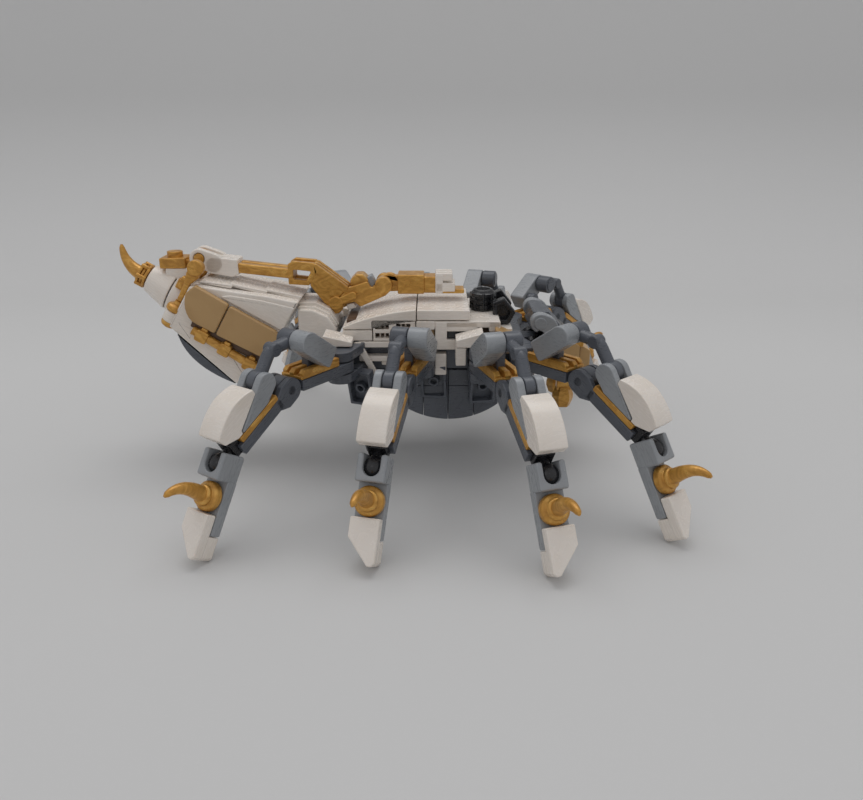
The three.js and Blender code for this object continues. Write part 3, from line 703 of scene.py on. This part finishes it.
tile = Piece().box(-4.4, 11.6, -BACK_HALF, BACK_HALF, 48.5, 51.6, rim=0.32)
tile.place("back_tile_plate", BODY, "chassis", "white", "back_tile")

deck = Piece()
deck.box(-4.4, 20.9, -BACK_HALF, BACK_HALF, 46.2, 48.2)
deck.box(4.2, 14.0, -BACK_HALF, BACK_HALF, 45.0, 48.0)
deck.box(17.4, 20.9, -BACK_HALF, BACK_HALF, 44.9, 48.0)
deck.place("deck", BODY, "chassis", "white")

shelf = Piece().box(18, 25, -11.8, 11.8, 42.1, 45.0)
shelf.place("front_shelf", BODY, "chassis", "white")

# Painted shade: a dark brown box for the shaded inside of the back, seen through the windows and gaps.
shade_box = Piece().box(-26, 18, -12.3, 12.3, 41.9, 47.9)
shade_box.place("back_shade_box", BODY, "chassis", "shade_brown")

LOW_ROW = rectangle(-27, -18.0, 42.1, 45.4)
both_sides("side_brick", "white", "chassis", LOW_ROW, 12.4, BACK_HALF)
WINDOW_BRICK = rectangle(-17.7, -4.9, 42.1, 48.0)
WINDOWS = (
    rectangle(-17.1, -12.9, 45.7, 47.4),
    rectangle(-17.1, -12.9, 42.9, 44.5),
    rectangle(-10.7, -6.4, 46.1, 47.4),
    rectangle(-10.7, -6.4, 42.9, 44.6),
)
for side, word in SIDES:
    brick = Piece().prism(WINDOW_BRICK, side * 12.6, side * BACK_HALF, holes=WINDOWS, rim=0.15, corner=0.15)
    for x in (-15.7, -14.2, -9.3, -7.9):
        brick.box(x - 0.25, x + 0.25, side * 12.9, side * 13.9, 42.6, 47.8, rim=0.1)
    brick.place(f"window_brick_{word}", BODY, "chassis", "white")
both_sides("side_ledge", "white", "chassis", rectangle(-22.4, -10.6, 40.1, 41.9), 12.1, 16.2)
both_sides("side_ledge_low", "white", "chassis", rectangle(-22.2, -11.2, 35.5, 37.2), 12.1, 15.6)
both_sides("side_foot", "white", "chassis", rectangle(-20.6, -18.4, 31.6, 35.3), 12.1, 14.6)
both_sides("side_heel", "white", "chassis", rectangle(-15.4, -11.4, 34.0, 35.3), 12.1, 14.6)
both_sides("step_plate", "white", "chassis", rectangle(-4.6, 1.0, 45.6, 48.3), 12.4, 16.0)
CORNER_PANEL = outline((1.1, 39.3), (12.2, 39.3), (12.2, 42.5), (4.7, 42.5), (4.7, 48.0), (1.1, 48.0))
both_sides("corner_panel", "white", "chassis", CORNER_PANEL, 12.6, 15.9)
both_sides("dark_window", "black", "chassis", rectangle(4.9, 14.4, 42.7, 46.0), 12.2, 14.8)
both_sides("side_plate_cream", "white", "chassis", rectangle(1.1, 4.6, 31.2, 38.0), 12.1, 15.9)
both_sides("hip_slope_leg", "white", "chassis", rectangle(7.2, 10.3, 36.4, 42.0), 16.2, 22.8)
BRACE = outline((-24.0, 41.9), (-21.4, 41.9), (-15.8, 30.9), (-17.6, 30.9))
both_sides("side_brace", "white", "chassis", BRACE, 15.8, 17.2)
both_sides("side_wall", "tan", "chassis", rectangle(-4.4, 0.9, 37.0, 45.4), 12.1, 13.2)


STACK_X = 16.4  # centre of the ribbed stack


def ribbed_profile():
    """Wall of the stack: three raised bands and a hollow top."""
    profile = [(0.0, 48.3), (3.7, 48.3)]
    for rise in (49.2, 51.0, 52.8):
        profile += [(3.7, rise - 0.2), (4.1, rise), (4.1, rise + 0.9), (3.7, rise + 1.1)]
    return profile + [(3.2, 54.5), (3.0, 54.8), (2.2, 54.9), (2.0, 54.3), (0.0, 54.3)]


turret = Piece().lathe(ribbed_profile(), (STACK_X, 0))
for place in circle((STACK_X, 0), 3.75, 8):
    turret.disc(place, 0.5, 48.6, 53.9, "z", rim=0.15)
turret.place("ribbed_stack", BODY, "chassis", "black", "turret")

frame_outline = outline((19.4, 45.2), (18.9, 52.0), (22.6, 53.4), (26.2, 49.0), (24.4, 45.4))
frame_hole = outline((20.8, 46.6), (20.4, 51.0), (22.2, 51.9), (24.6, 48.9), (23.6, 46.6))
clip_frame = Piece()
for side, _ in SIDES:
    clip_frame.prism(frame_outline, side * 5.2, side * 7.8, holes=[frame_hole])
    clip_frame.prism(frame_outline, side * 4.4, side * 5.2)
clip_frame.box(20.2, 24.8, -5, 5, 45.2, 46.6)
clip_frame.place("rear_clip_frame", BODY, "chassis", "black")


# ---- head --------------------------------------------------------------------------------------
HEAD_HALF = 7.7
skull = Piece()
skull_loop = outline((36.9, 33.0), (36.9, 43.4), (40, 44.8), (46.4, 39.4), (46.4, 31.2), (41, 31.2))
skull.prism(skull_loop, -HEAD_HALF, HEAD_HALF, rim=0.4)
for side, _ in SIDES:
    skull.prism(stadium(NECK, (39, 37.5), 3.1), side * HALF, side * 7.6)
skull.disc(NECK, PIN, -7, 7)
skull.prism(stadium((42.1, 32), FANG_PIN, 2.5), -4.2, 4.2)
skull.disc(FANG_PIN, PIN, -7.6, 7.6)
skull.place("skull", BODY, "head", "black", "head")
brow = Piece()
brow_loop = outline((30.9, 43.7), (31.7, 49.2), (36.4, 49.2), (41.8, 43.2), (36.9, 41.2))
brow.prism(brow_loop, -HEAD_HALF, HEAD_HALF)
brow.disc((33.5, 46.5), PIN, -11.4, 11.4)
brow.place("brow", BODY, "head", "dark_grey")

face = Piece()
face_loop = outline((46.8, 30.2), (46.8, 38.8), (50.4, 36.6), (50.4, 30.2))
face.prism(face_loop, -HEAD_HALF, HEAD_HALF, rim=0.35)
face.place("face_tile", BODY, "head", "tan", "face_plate")
cheeks = Piece()
cheek_loop = outline((37.4, 37.6), (39.4, 41.2), (43.0, 41.2), (46.6, 38.6), (46.6, 33.4))
for side, _ in SIDES:
    cheeks.prism(cheek_loop, side * 7.8, side * 9.4)
cheeks.place("cheek_tiles", BODY, "head", "tan")
nose_clip = Piece()
for side, _ in SIDES:
    nose_clip.box(45.6, 47.8, side * 6.4, side * 9.2, 38.2, 40.6)
nose_clip.place("nose_clips", BODY, "head", "gold")

FANG_PROFILE = (
    (0.0, -3.6), (2.4, -3.8), (3.4, -6.4), (3.4, -8.0), (2.5, -10.4), (1.9, -10.5), (1.6, -9.6), (0.0, -9.4),
)
for side, word in SIDES:
    jaw_frame = Matrix.Translation(JOINTS[f"jaw_{word}_swing"])
    hook = arc((0, 0), 3.0, 90, 250, 12) + bow((-0.2, -2.6), (2.4, -3.2), (1.4, -8.4), 8)
    hook += bow((4.6, -8.4), (8.4, 1.4), (0.6, 2.95), 12)
    jaw = Piece().prism(hook, -1.9, 1.9, rim=0.5)
    jaw.disc((0, 0), 1.9, side * 1.7, side * 2.3)
    jaw.place(f"jaw_hook_{word}", jaw_frame, f"jaw_{word}", "light_grey", f"jaw_{word}")

    fang_frame = Matrix.Translation(JOINTS[f"fang_{word}_swing"])
    fang = Piece()
    fang.prism(stadium((0, 0), (0, -4), 2.3), -1.6, 1.6, holes=[circle((0, 0), 1.6, 16)])
    fang.lathe(FANG_PROFILE, steps=6)
    fang.place(f"fang_tooth_{word}", fang_frame, f"fang_{word}", "gold", f"fang_{word}")


# ---- abdomen -----------------------------------------------------------------------------------
# In its own frame x runs forwards and down along the abdomen, and z out of its back.
def on_abdomen(name, slot, loop, half, *nodes, **options):
    piece = Piece().prism(loop, -half, half, **options)
    return piece.place(name, ABDOMEN, "abdomen", slot, *nodes)


BACK_EDGE = outline((6.0, 7.4), (8.6, 9.2), (16, 11.9), (20.4, 13.6), (27.2, 16.4), (36.8, 19.6))
shell = BACK_EDGE + outline((37.0, -13.2), (31, -13.6), (8.5, -7.8), (5.6, -7.0))
on_abdomen("abdomen_core", "white", shell, 11.9, "abdomen_shell", rim=0.6)
RIDGES = ((7.4, 17.0, 12.4), (15.4, 27.0, 15.8), (25.4, 36.9, 19.4))  # start, end and rise of a plate
for index, (start, end, rise) in enumerate(RIDGES):
    ridge = outline((start, rise - 3.4), (end, rise), (end, rise + 1.3), (start + 0.6, rise - 2.1))
    on_abdomen(f"ridge_plate_{index}", "white", ridge, 9.4 - 0.8 * index, rim=0.3)
STEP = outline((15.2, 9.4), (36.6, 9.2), (36.6, 17.6), (27.0, 14.8), (18, 11.4))
both_sides("abdomen_step", "white", "abdomen", STEP, 11.8, 12.5, ABDOMEN, rim=0.3)

nose = outline((-41.3, 40.6), (-41.3, 50.6), (-36.5, 50.4), (-32.0, 48.2), (-29.4, 44.2), (-29.2, 40.6))
nose_block = Piece().prism(nose, -10.4, 10.4, rim=0.6, corner=1.2)
nose_block.place("abdomen_nose", BODY, "abdomen", "white")
for index, half in enumerate((8.4, 6.6)):
    lift = 0.9 + index
    ribbon = outline((-41.3, 50.2 + lift), (-36.0, 50.0 + lift), (-31.6, 47.8 + lift))
    ribbon += outline((-29.0 + index * 0.3, 44.6), (-31, 44.6), (-41.3, 46.0))
    nose_rib = Piece().prism(ribbon, -half, half, rim=0.3)
    nose_rib.place(f"nose_rib_{index}", BODY, "abdomen", "white")
waist_ears = Piece()
for side, _ in SIDES:
    waist_ears.prism(stadium(WAIST, (-40.6, 41), 3.3), side * HALF, side * 7.6)
waist_ears.disc(WAIST, PIN, -7.4, 7.4)
waist_ears.place("waist_ears", BODY, "abdomen", "dark_grey")

KEEL = bow((8.4, -8.2), (15.4, -16.4), (31.2, -14.4), 14) + outline((31.0, -13.8), (25.2, -12.3))
on_abdomen("keel_curve", "dark_grey", KEEL, 10.6, "abdomen_keel", rim=0.4)

REAR_TAN = outline((6.3, 6.0), (7.8, 9.5), (19.1, 9.1), (19.1, -1.2), (13.0, -1.2))
REAR_TAN += bow((11.4, -1.1), (7.4, 0.4), (6.3, 6.0), 6)[:-1]
FRONT_TAN = outline((19.4, 9.0), (34.8, 8.8), (36.9, 7.4), (36.6, -0.8), (19.4, -1.3))
for side, word in SIDES:
    for name, loop in (("rear", REAR_TAN), ("front", FRONT_TAN)):
        tile = Piece().prism(loop, side * 12.3, side * 14.6, rim=0.5, corner=0.9)
        node = (f"side_plate_{word}",) if name == "rear" else ()
        tile.place(f"tan_{name}_{word}", ABDOMEN, "abdomen", "tan", *node)

# Painted shade: a dark brown slab for the shade in the recess below the tan tiles.
both_sides("shadow_slab", "shade_brown", "abdomen", rectangle(11.4, 36, -3.3, -1.2), 11.6, 12.9, ABDOMEN)
CLIPS = (16.0, 23.8, 32.4)


def rail_height(x):
    return -3.8 - 0.06 * (x - 13)


for side, word in SIDES:
    rail = Piece()
    rail.tube([(x, side * 13.4, rail_height(x)) for x in (12.6, 20, 28, 36)], (1.35,) * 4)
    for x in CLIPS:
        z = rail_height(x)
        clip = rectangle(x - 1.9, x + 1.9, z - 1.9, z + 1.9)
        rail.prism(clip, side * 11.8, side * 15.0, rim=0.35, corner=0.8)
        rail.prism(rectangle(x - 1.0, x + 1.0, z + 1.0, z + 2.8), side * 12.2, side * 14.4)
    rail.prism(outline((33.8, -9.4), (36.4, -9.4), (36.8, -3.4), (33.4, -3.4)), side * 11.9, side * 14.8)
    rail.place(f"clip_row_{word}", ABDOMEN, "abdomen", "gold")

# Tail: ring, cone cap, horn, studded plate, and on each side a lever over a stack of round bricks.
CONE_PROFILE = ((0.0, -7.7), (4.1, -7.7), (4.5, -7.4), (6.6, -0.6), (6.6, 0.0), (6.2, 0.2), (0.0, 0.2))
cap = Piece().lathe(CONE_PROFILE, axis="x")
cap.place("tail_cone", ABDOMEN, "abdomen", "white", "tail_cap")
seam = Piece().lathe(((0.0, 0.1), (6.2, 0.1), (6.2, 0.7), (0.0, 0.7)), axis="x")
seam.place("tail_seam", ABDOMEN, "abdomen", "black")
ring = Piece()
ring.lathe(((0.0, 0.5), (6.5, 0.5), (6.8, 0.8), (7.2, 4.0), (7.2, 6.4), (0.0, 6.4)), axis="x")
ring.place("tail_ring", ABDOMEN, "abdomen", "white")
ring_clips = Piece()
for side, _ in SIDES:
    ring_clips.prism(rectangle(1.6, 4.8, 3.8, 7.0), side * 5.4, side * 8.0)
    ring_clips.prism(rectangle(2.4, 4.0, 4.4, 8.4), side * 6.4, side * 8.6)
ring_clips.place("ring_clips", ABDOMEN, "abdomen", "gold")

horn = Piece()
for start, radius in ((-8.1, 3.9), (-9.3, 3.1), (-10.3, 3.5)):
    horn.disc((0, 0), radius, start - 0.9, start, "x", rim=0.25)
for place in circle((0, 0), 3.4, 6):
    horn.disc(place, 0.7, -11.2, -8.2, "x", rim=0.2)
path = bow((-9.6, -0.2), (-16.2, -0.6), (-19.6, 5.2), CLAW_STEPS)
horn.tube(upright(path), tapered(1.9, 0.85, 0.6))
horn.place("horn", ABDOMEN, "abdomen", "gold", "tail_horn")

plate = Piece()
plate.box(-84.2, -76.2, -HALF, HALF, 61.9, 65.1)
plate.studs((-80.2, 0, 65.1))
plate.box(-77.0, -73.6, -2.4, 2.4, 61.4, 64.4)
plate.place("tail_stud_plate", BODY, "abdomen", "gold")
seat = Piece().box(-82.6, -74.8, -3.6, 3.6, 57.4, 62.0)
seat.place("stud_plate_seat", BODY, "abdomen", "white")

LEVER = outline(
    (3.6, 12.6), (6.0, 13.6), (7.2, 10.6), (5.8, 7.6), (5.6, 1.0), (4.1, 1.0), (3.9, 7.4), (3.2, 10.4),
)
LEVER_HEAD = (5.1, 13.0)
KNOB_PROFILE = (
    (0.0, -2.6), (2.4, -2.6), (2.9, -2.2), (2.9, -1.2), (2.5, -0.6), (1.4, -0.2), (1.2, 1.0), (0.0, 1.1),
)
TAB_PROFILE = ((0.0, -8.2), (1.4, -8.1), (2.3, -7.6), (2.6, -6.9), (2.6, -6.1), (0.0, -6.1))
UNDER_BRICK = outline((7.4, -7.6), (7.4, -3.9), (12.8, -3.9), (13.2, -7.6))
for side, word in SIDES:
    lever = Piece()
    lever.prism(LEVER, side * 8.2, side * 10.2, rim=0.45, corner=0.8)
    lever.disc(LEVER_HEAD, 2.5, side * 7.8, side * 10.8, rim=0.5)
    lever.place(f"lever_{word}", ABDOMEN, "abdomen", "gold")
    stack = (4.9, side * 9.2)
    knob = Piece().lathe(KNOB_PROFILE, stack)
    knob.place(f"knob_{word}", ABDOMEN, "abdomen", "gold")
    round_brick = Piece().disc(stack, 2.7, -6.1, -2.6, "z", rim=0.3)
    round_brick.place(f"tail_round_brick_{word}", ABDOMEN, "abdomen", "white")
    tab = Piece().lathe(TAB_PROFILE, stack)
    tab.place(f"tail_tab_{word}", ABDOMEN, "abdomen", "gold")
    under = Piece().prism(UNDER_BRICK, side * 5.0, side * 12.0, rim=0.5)
    under.place(f"tail_under_{word}", ABDOMEN, "abdomen", "white")
under_loop = outline((1.8, -4.0), (2.6, -7.4), (8.0, -8.0), (8.0, -3.0))
under_block = Piece().prism(under_loop, -5.2, 5.2, rim=0.6)
under_block.place("tail_under", ABDOMEN, "abdomen", "white")


# ---- arm over the back -------------------------------------------------------------------------
knuckle = Piece()
ring_eye = circle(BOOM_PIN, 1.7, 18)
block = outline((-69.6, 60.6), (-70.0, 64.0), (-68.2, 65.6), (-60.0, 64.6), (-59.8, 60.0), (-62.0, 59.2))
for side, _ in SIDES:
    knuckle.prism(stadium(BOOM_PIN, (-67.4, 63.4), 3.0), side * 1.5, side * HALF, holes=[ring_eye], rim=0.4)
    knuckle.prism(block, side * 0.35, side * HALF, rim=0.35)
knuckle.place("arm_knuckle", BODY, "boom", "white", "boom")
tongue = Piece()
tongue.prism(stadium((-74.6, 62.8), BOOM_PIN, 2.5), -1.3, 1.3)
tongue.place("boom_tongue", BODY, "abdomen", "gold")
boom_pin = Piece().disc(BOOM_PIN, 1.6, -4.1, 4.1, rim=0.25)
boom_pin.place("boom_pin", BODY, "boom", "gold")

rods = Piece()
rod = outline((-60.2, 60.5), (-60.2, 63.5), (-43.2, 61.6), (-43.2, 58.6))
for side, _ in SIDES:
    rods.prism(rod, side * 0.7, side * 3.7, rim=0.5, corner=0.6)
rods.place("arm_rods", BODY, "boom", "gold")

window_frame = Piece()
frame_loop = outline(
    (-44.6, 57.0), (-44.6, 63.2), (-43.0, 64.2), (-36.4, 63.6), (-35.4, 60.8), (-38.2, 56.6),
)
hole = outline((-43.0, 58.6), (-43.0, 61.6), (-37.4, 61.0), (-39.0, 58.2))
for side, _ in SIDES:
    window_frame.prism(frame_loop, side * 1.9, side * HALF, holes=[hole], rim=0.3)
window_frame.box(-44.6, -43.0, -2.4, 2.4, 57.4, 63.0)
window_frame.prism(outline((-44.2, 62.0), (-44.2, 63.4), (-36.6, 62.9), (-36.6, 61.6)), -2.4, 2.4)
rib = outline((-36.8, 63.4), (-35.6, 63.2), (-26.0, 56.0), (-27.0, 54.0), (-36.4, 60.4))
for middle in (-3.0, 0.0, 3.0):
    window_frame.prism(rib, middle - 0.9, middle + 0.9, rim=0.25)
flank = outline((-38.0, 56.6), (-36.4, 60.8), (-27.4, 54.6), (-30.6, 51.0), (-33.4, 50.6))
for side, _ in SIDES:
    window_frame.prism(flank, side * 2.0, side * 3.7, rim=0.25)
window_frame.prism(outline((-37.0, 57.6), (-35.8, 60.2), (-28.6, 55.2), (-31.6, 54.2)), -2.1, 2.1)
for side, _ in SIDES:
    window_frame.disc(LINK_PIN, 2.7, side * 1.7, side * HALF, rim=0.35)
window_frame.disc(LINK_PIN, 1.4, -HALF, HALF)
window_frame.place("arm_window_frame", BODY, "boom", "gold")

link = Piece()
link.prism(stadium(LINK_PIN, (-27.2, 51.6), 2.1), -1.3, 1.3)
link.disc(LINK_PIN, 2.4, -1.4, 1.4)
LEVER_EYE = (-30.0, 51.2)
plate_loop = outline(
    (-28.6, 53.2), (-25.9, 56.0), (-20.0, 57.9), (-18.9, 55.6), (-16.4, 58.0), (-13.6, 58.2), (-12.3, 55.4),
    (-14.4, 53.4), (-22.4, 49.8), (-24.4, 51.4), (-28.0, 50.4),
)
for side, _ in SIDES:
    link.prism(plate_loop, side * 1.75, side * HALF, rim=0.35, corner=0.8)
    link.disc(GRIP_PIN, 2.7, side * 1.7, side * (HALF + 0.3), rim=0.5)
    link.disc(LEVER_EYE, 2.2, side * 4.05, side * 5.3, rim=0.4)
    link.prism(stadium(LEVER_EYE, (-24.6, 53.6), 1.2), side * 4.05, side * 5.0, rim=0.3)
link.prism(outline((-24.8, 51.6), (-22.6, 50.4), (-19.6, 52.0), (-19.6, 56.6), (-25.0, 55.8)), -2.0, 2.0)
link.place("arm_link_plate", BODY, "arm_link", "gold", "arm_link")
saddle = Piece()
saddle_loop = outline(
    (-25.6, 56.0), (-25.4, 58.2), (-23.6, 59.9), (-21.4, 59.9), (-19.8, 58.2), (-20.0, 56.6),
)
saddle.prism(saddle_loop, -3.0, 3.0, rim=0.5, corner=0.9)
saddle.place("link_saddle", BODY, "arm_link", "gold")
clip_loop = outline((-20.6, 56.4), (-20.2, 58.8), (-18.8, 59.5), (-17.6, 57.0), (-18.6, 55.2))
clip = Piece().prism(clip_loop, -2.2, 2.2, rim=0.4)
clip.place("link_clip", BODY, "arm_link", "light_grey")
foot_loop = outline((-27.0, 50.4), (-24.6, 51.0), (-23.6, 49.4), (-26.4, 48.6))
foot_block = Piece().prism(foot_loop, -3.4, 3.4, rim=0.4)
foot_block.place("link_foot", BODY, "arm_link", "white")

grip = Piece()
grip.prism(stadium(GRIP_PIN, (-9.6, 56.8), 2.5), -1.3, 1.3)
grip.box(-10.6, -2.3, -HALF, HALF, 53.9, 59.9, rim=0.4)
grip.box(-2.5, 1.6, -3.3, 3.3, 54.1, 59.2, rim=0.4)
grip.disc((-7.6, 57.4), 1.1, -4.15, 4.15)
ARCH_CENTRE = (-13.2, 57.0)
arch = arc(ARCH_CENTRE, 2.9, 10, 150, 10) + arc(ARCH_CENTRE, 1.9, 150, 10, 10)
for side, _ in SIDES:
    grip.prism(arch, side * 0.2, side * 1.3, corner=0.1)
grip.place("gripper_block", BODY, "gripper", "gold", "gripper")
hand = Piece()
hand.box(1.2, 3.6, -HALF, HALF, 54.1, 60.0)
for y in (-2.85, 0, 2.85):
    hand.box(1.2, 7.4, y - 1.05, y + 1.05, 54.6, 57.4, rim=0.35)
    hand.box(1.2, 6.6, y - 0.9, y + 0.9, 58.0, 60.4, rim=0.35)
hand.place("gripper_hand", BODY, "gripper", "white")
grip_plate = Piece().box(3.0, 10.3, -3.0, 3.0, 53.9, 55.2)
grip_plate.place("gripper_plate", BODY, "gripper", "gold")


# ---- stage, light and camera -------------------------------------------------------------------
def sweep_material():
    material = bpy.data.materials.new("pale_paper")
    material.use_nodes = True
    tree = material.node_tree
    shader = tree.nodes["Principled BSDF"]
    shader.inputs["Roughness"].default_value = 0.75
    shader.inputs["Specular IOR Level"].default_value = 0.25
    tint = ramp(tree, noise(tree, 3.0, 2.0), ((0.3, (0.60, 0.597, 0.59)), (0.7, (0.615, 0.612, 0.605))))
    tree.links.new(tint, shader.inputs["Base Color"])
    tree.links.new(bump(tree, noise(tree, 900, 3.0), 0.08, 0.0002), shader.inputs["Normal"])
    return material


def studio_sweep():
    """Floor that bends up into a wall behind the robot."""
    floor_end, bend, wall_top, width = 0.22, 0.12, 0.55, 1.6
    profile = [Vector((-1.2, 0)), Vector((floor_end, 0))]
    profile += [Vector((p.x, p.y)) for p in arc((floor_end, bend), bend, -90, 0, 16)[1:]]
    profile.append(Vector((floor_end + bend, wall_top)))
    mesh = bmesh.new()
    columns = [[mesh.verts.new((x, p.x, p.y)) for p in profile] for x in (-width, width)]
    for index in range(len(profile) - 1):
        left, right = columns
        mesh.faces.new((left[index], right[index], right[index + 1], left[index + 1]))
    data = bpy.data.meshes.new("studio_sweep")
    mesh.to_mesh(data)
    mesh.free()
    data.shade_smooth()
    data.materials.append(sweep_material())
    sweep = bpy.data.objects.new("studio_sweep", data)
    bpy.context.collection.objects.link(sweep)
    sweep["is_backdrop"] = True


def area_light(name, place, target, size, power):
    data = bpy.data.lights.new(name, "AREA")
    data.shape = "RECTANGLE"
    data.size, data.size_y = size
    data.energy = power
    light = bpy.data.objects.new(name, data)
    light.location = place
    light.rotation_euler = (Vector(target) - Vector(place)).to_track_quat("-Z", "Y").to_euler()
    bpy.context.collection.objects.link(light)


studio_sweep()
area_light("overhead", place=(0.0, 0.24, 0.95), target=(0, 0.16, 0), size=(1.0, 0.55), power=3.2)
area_light("window", place=(-0.5, -0.9, 0.8), target=(0, 0, 0.03), size=(0.35, 0.5), power=0.25)

world = bpy.data.worlds.new("studio")
world.use_nodes = True
sky = world.node_tree.nodes["Background"]
sky.inputs["Color"].default_value = (0.97, 0.975, 1.0, 1)
sky.inputs["Strength"].default_value = 0.56
bpy.context.scene.world = world
bpy.context.scene.view_settings.view_transform = "Standard"

CAMERA_PITCH = math.radians(20.6)
CAMERA_PLACE = (CENTRE_X * MM, -0.240, 0.1072)
FOCAL_LENGTH = 31.9
camera_data = bpy.data.cameras.new("camera")
camera_data.sensor_width = 36
camera_data.lens = FOCAL_LENGTH
camera_data.clip_start = 0.01
camera = bpy.data.objects.new("camera", camera_data)
camera.location = CAMERA_PLACE
camera.rotation_euler = (math.pi / 2 - CAMERA_PITCH, 0, 0)
bpy.context.collection.objects.link(camera)
bpy.context.scene.camera = camera

sizes = {"cad": cad_box, "visual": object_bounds()}
sizes = {name: [list(corner) for corner in box] for name, box in sizes.items()}
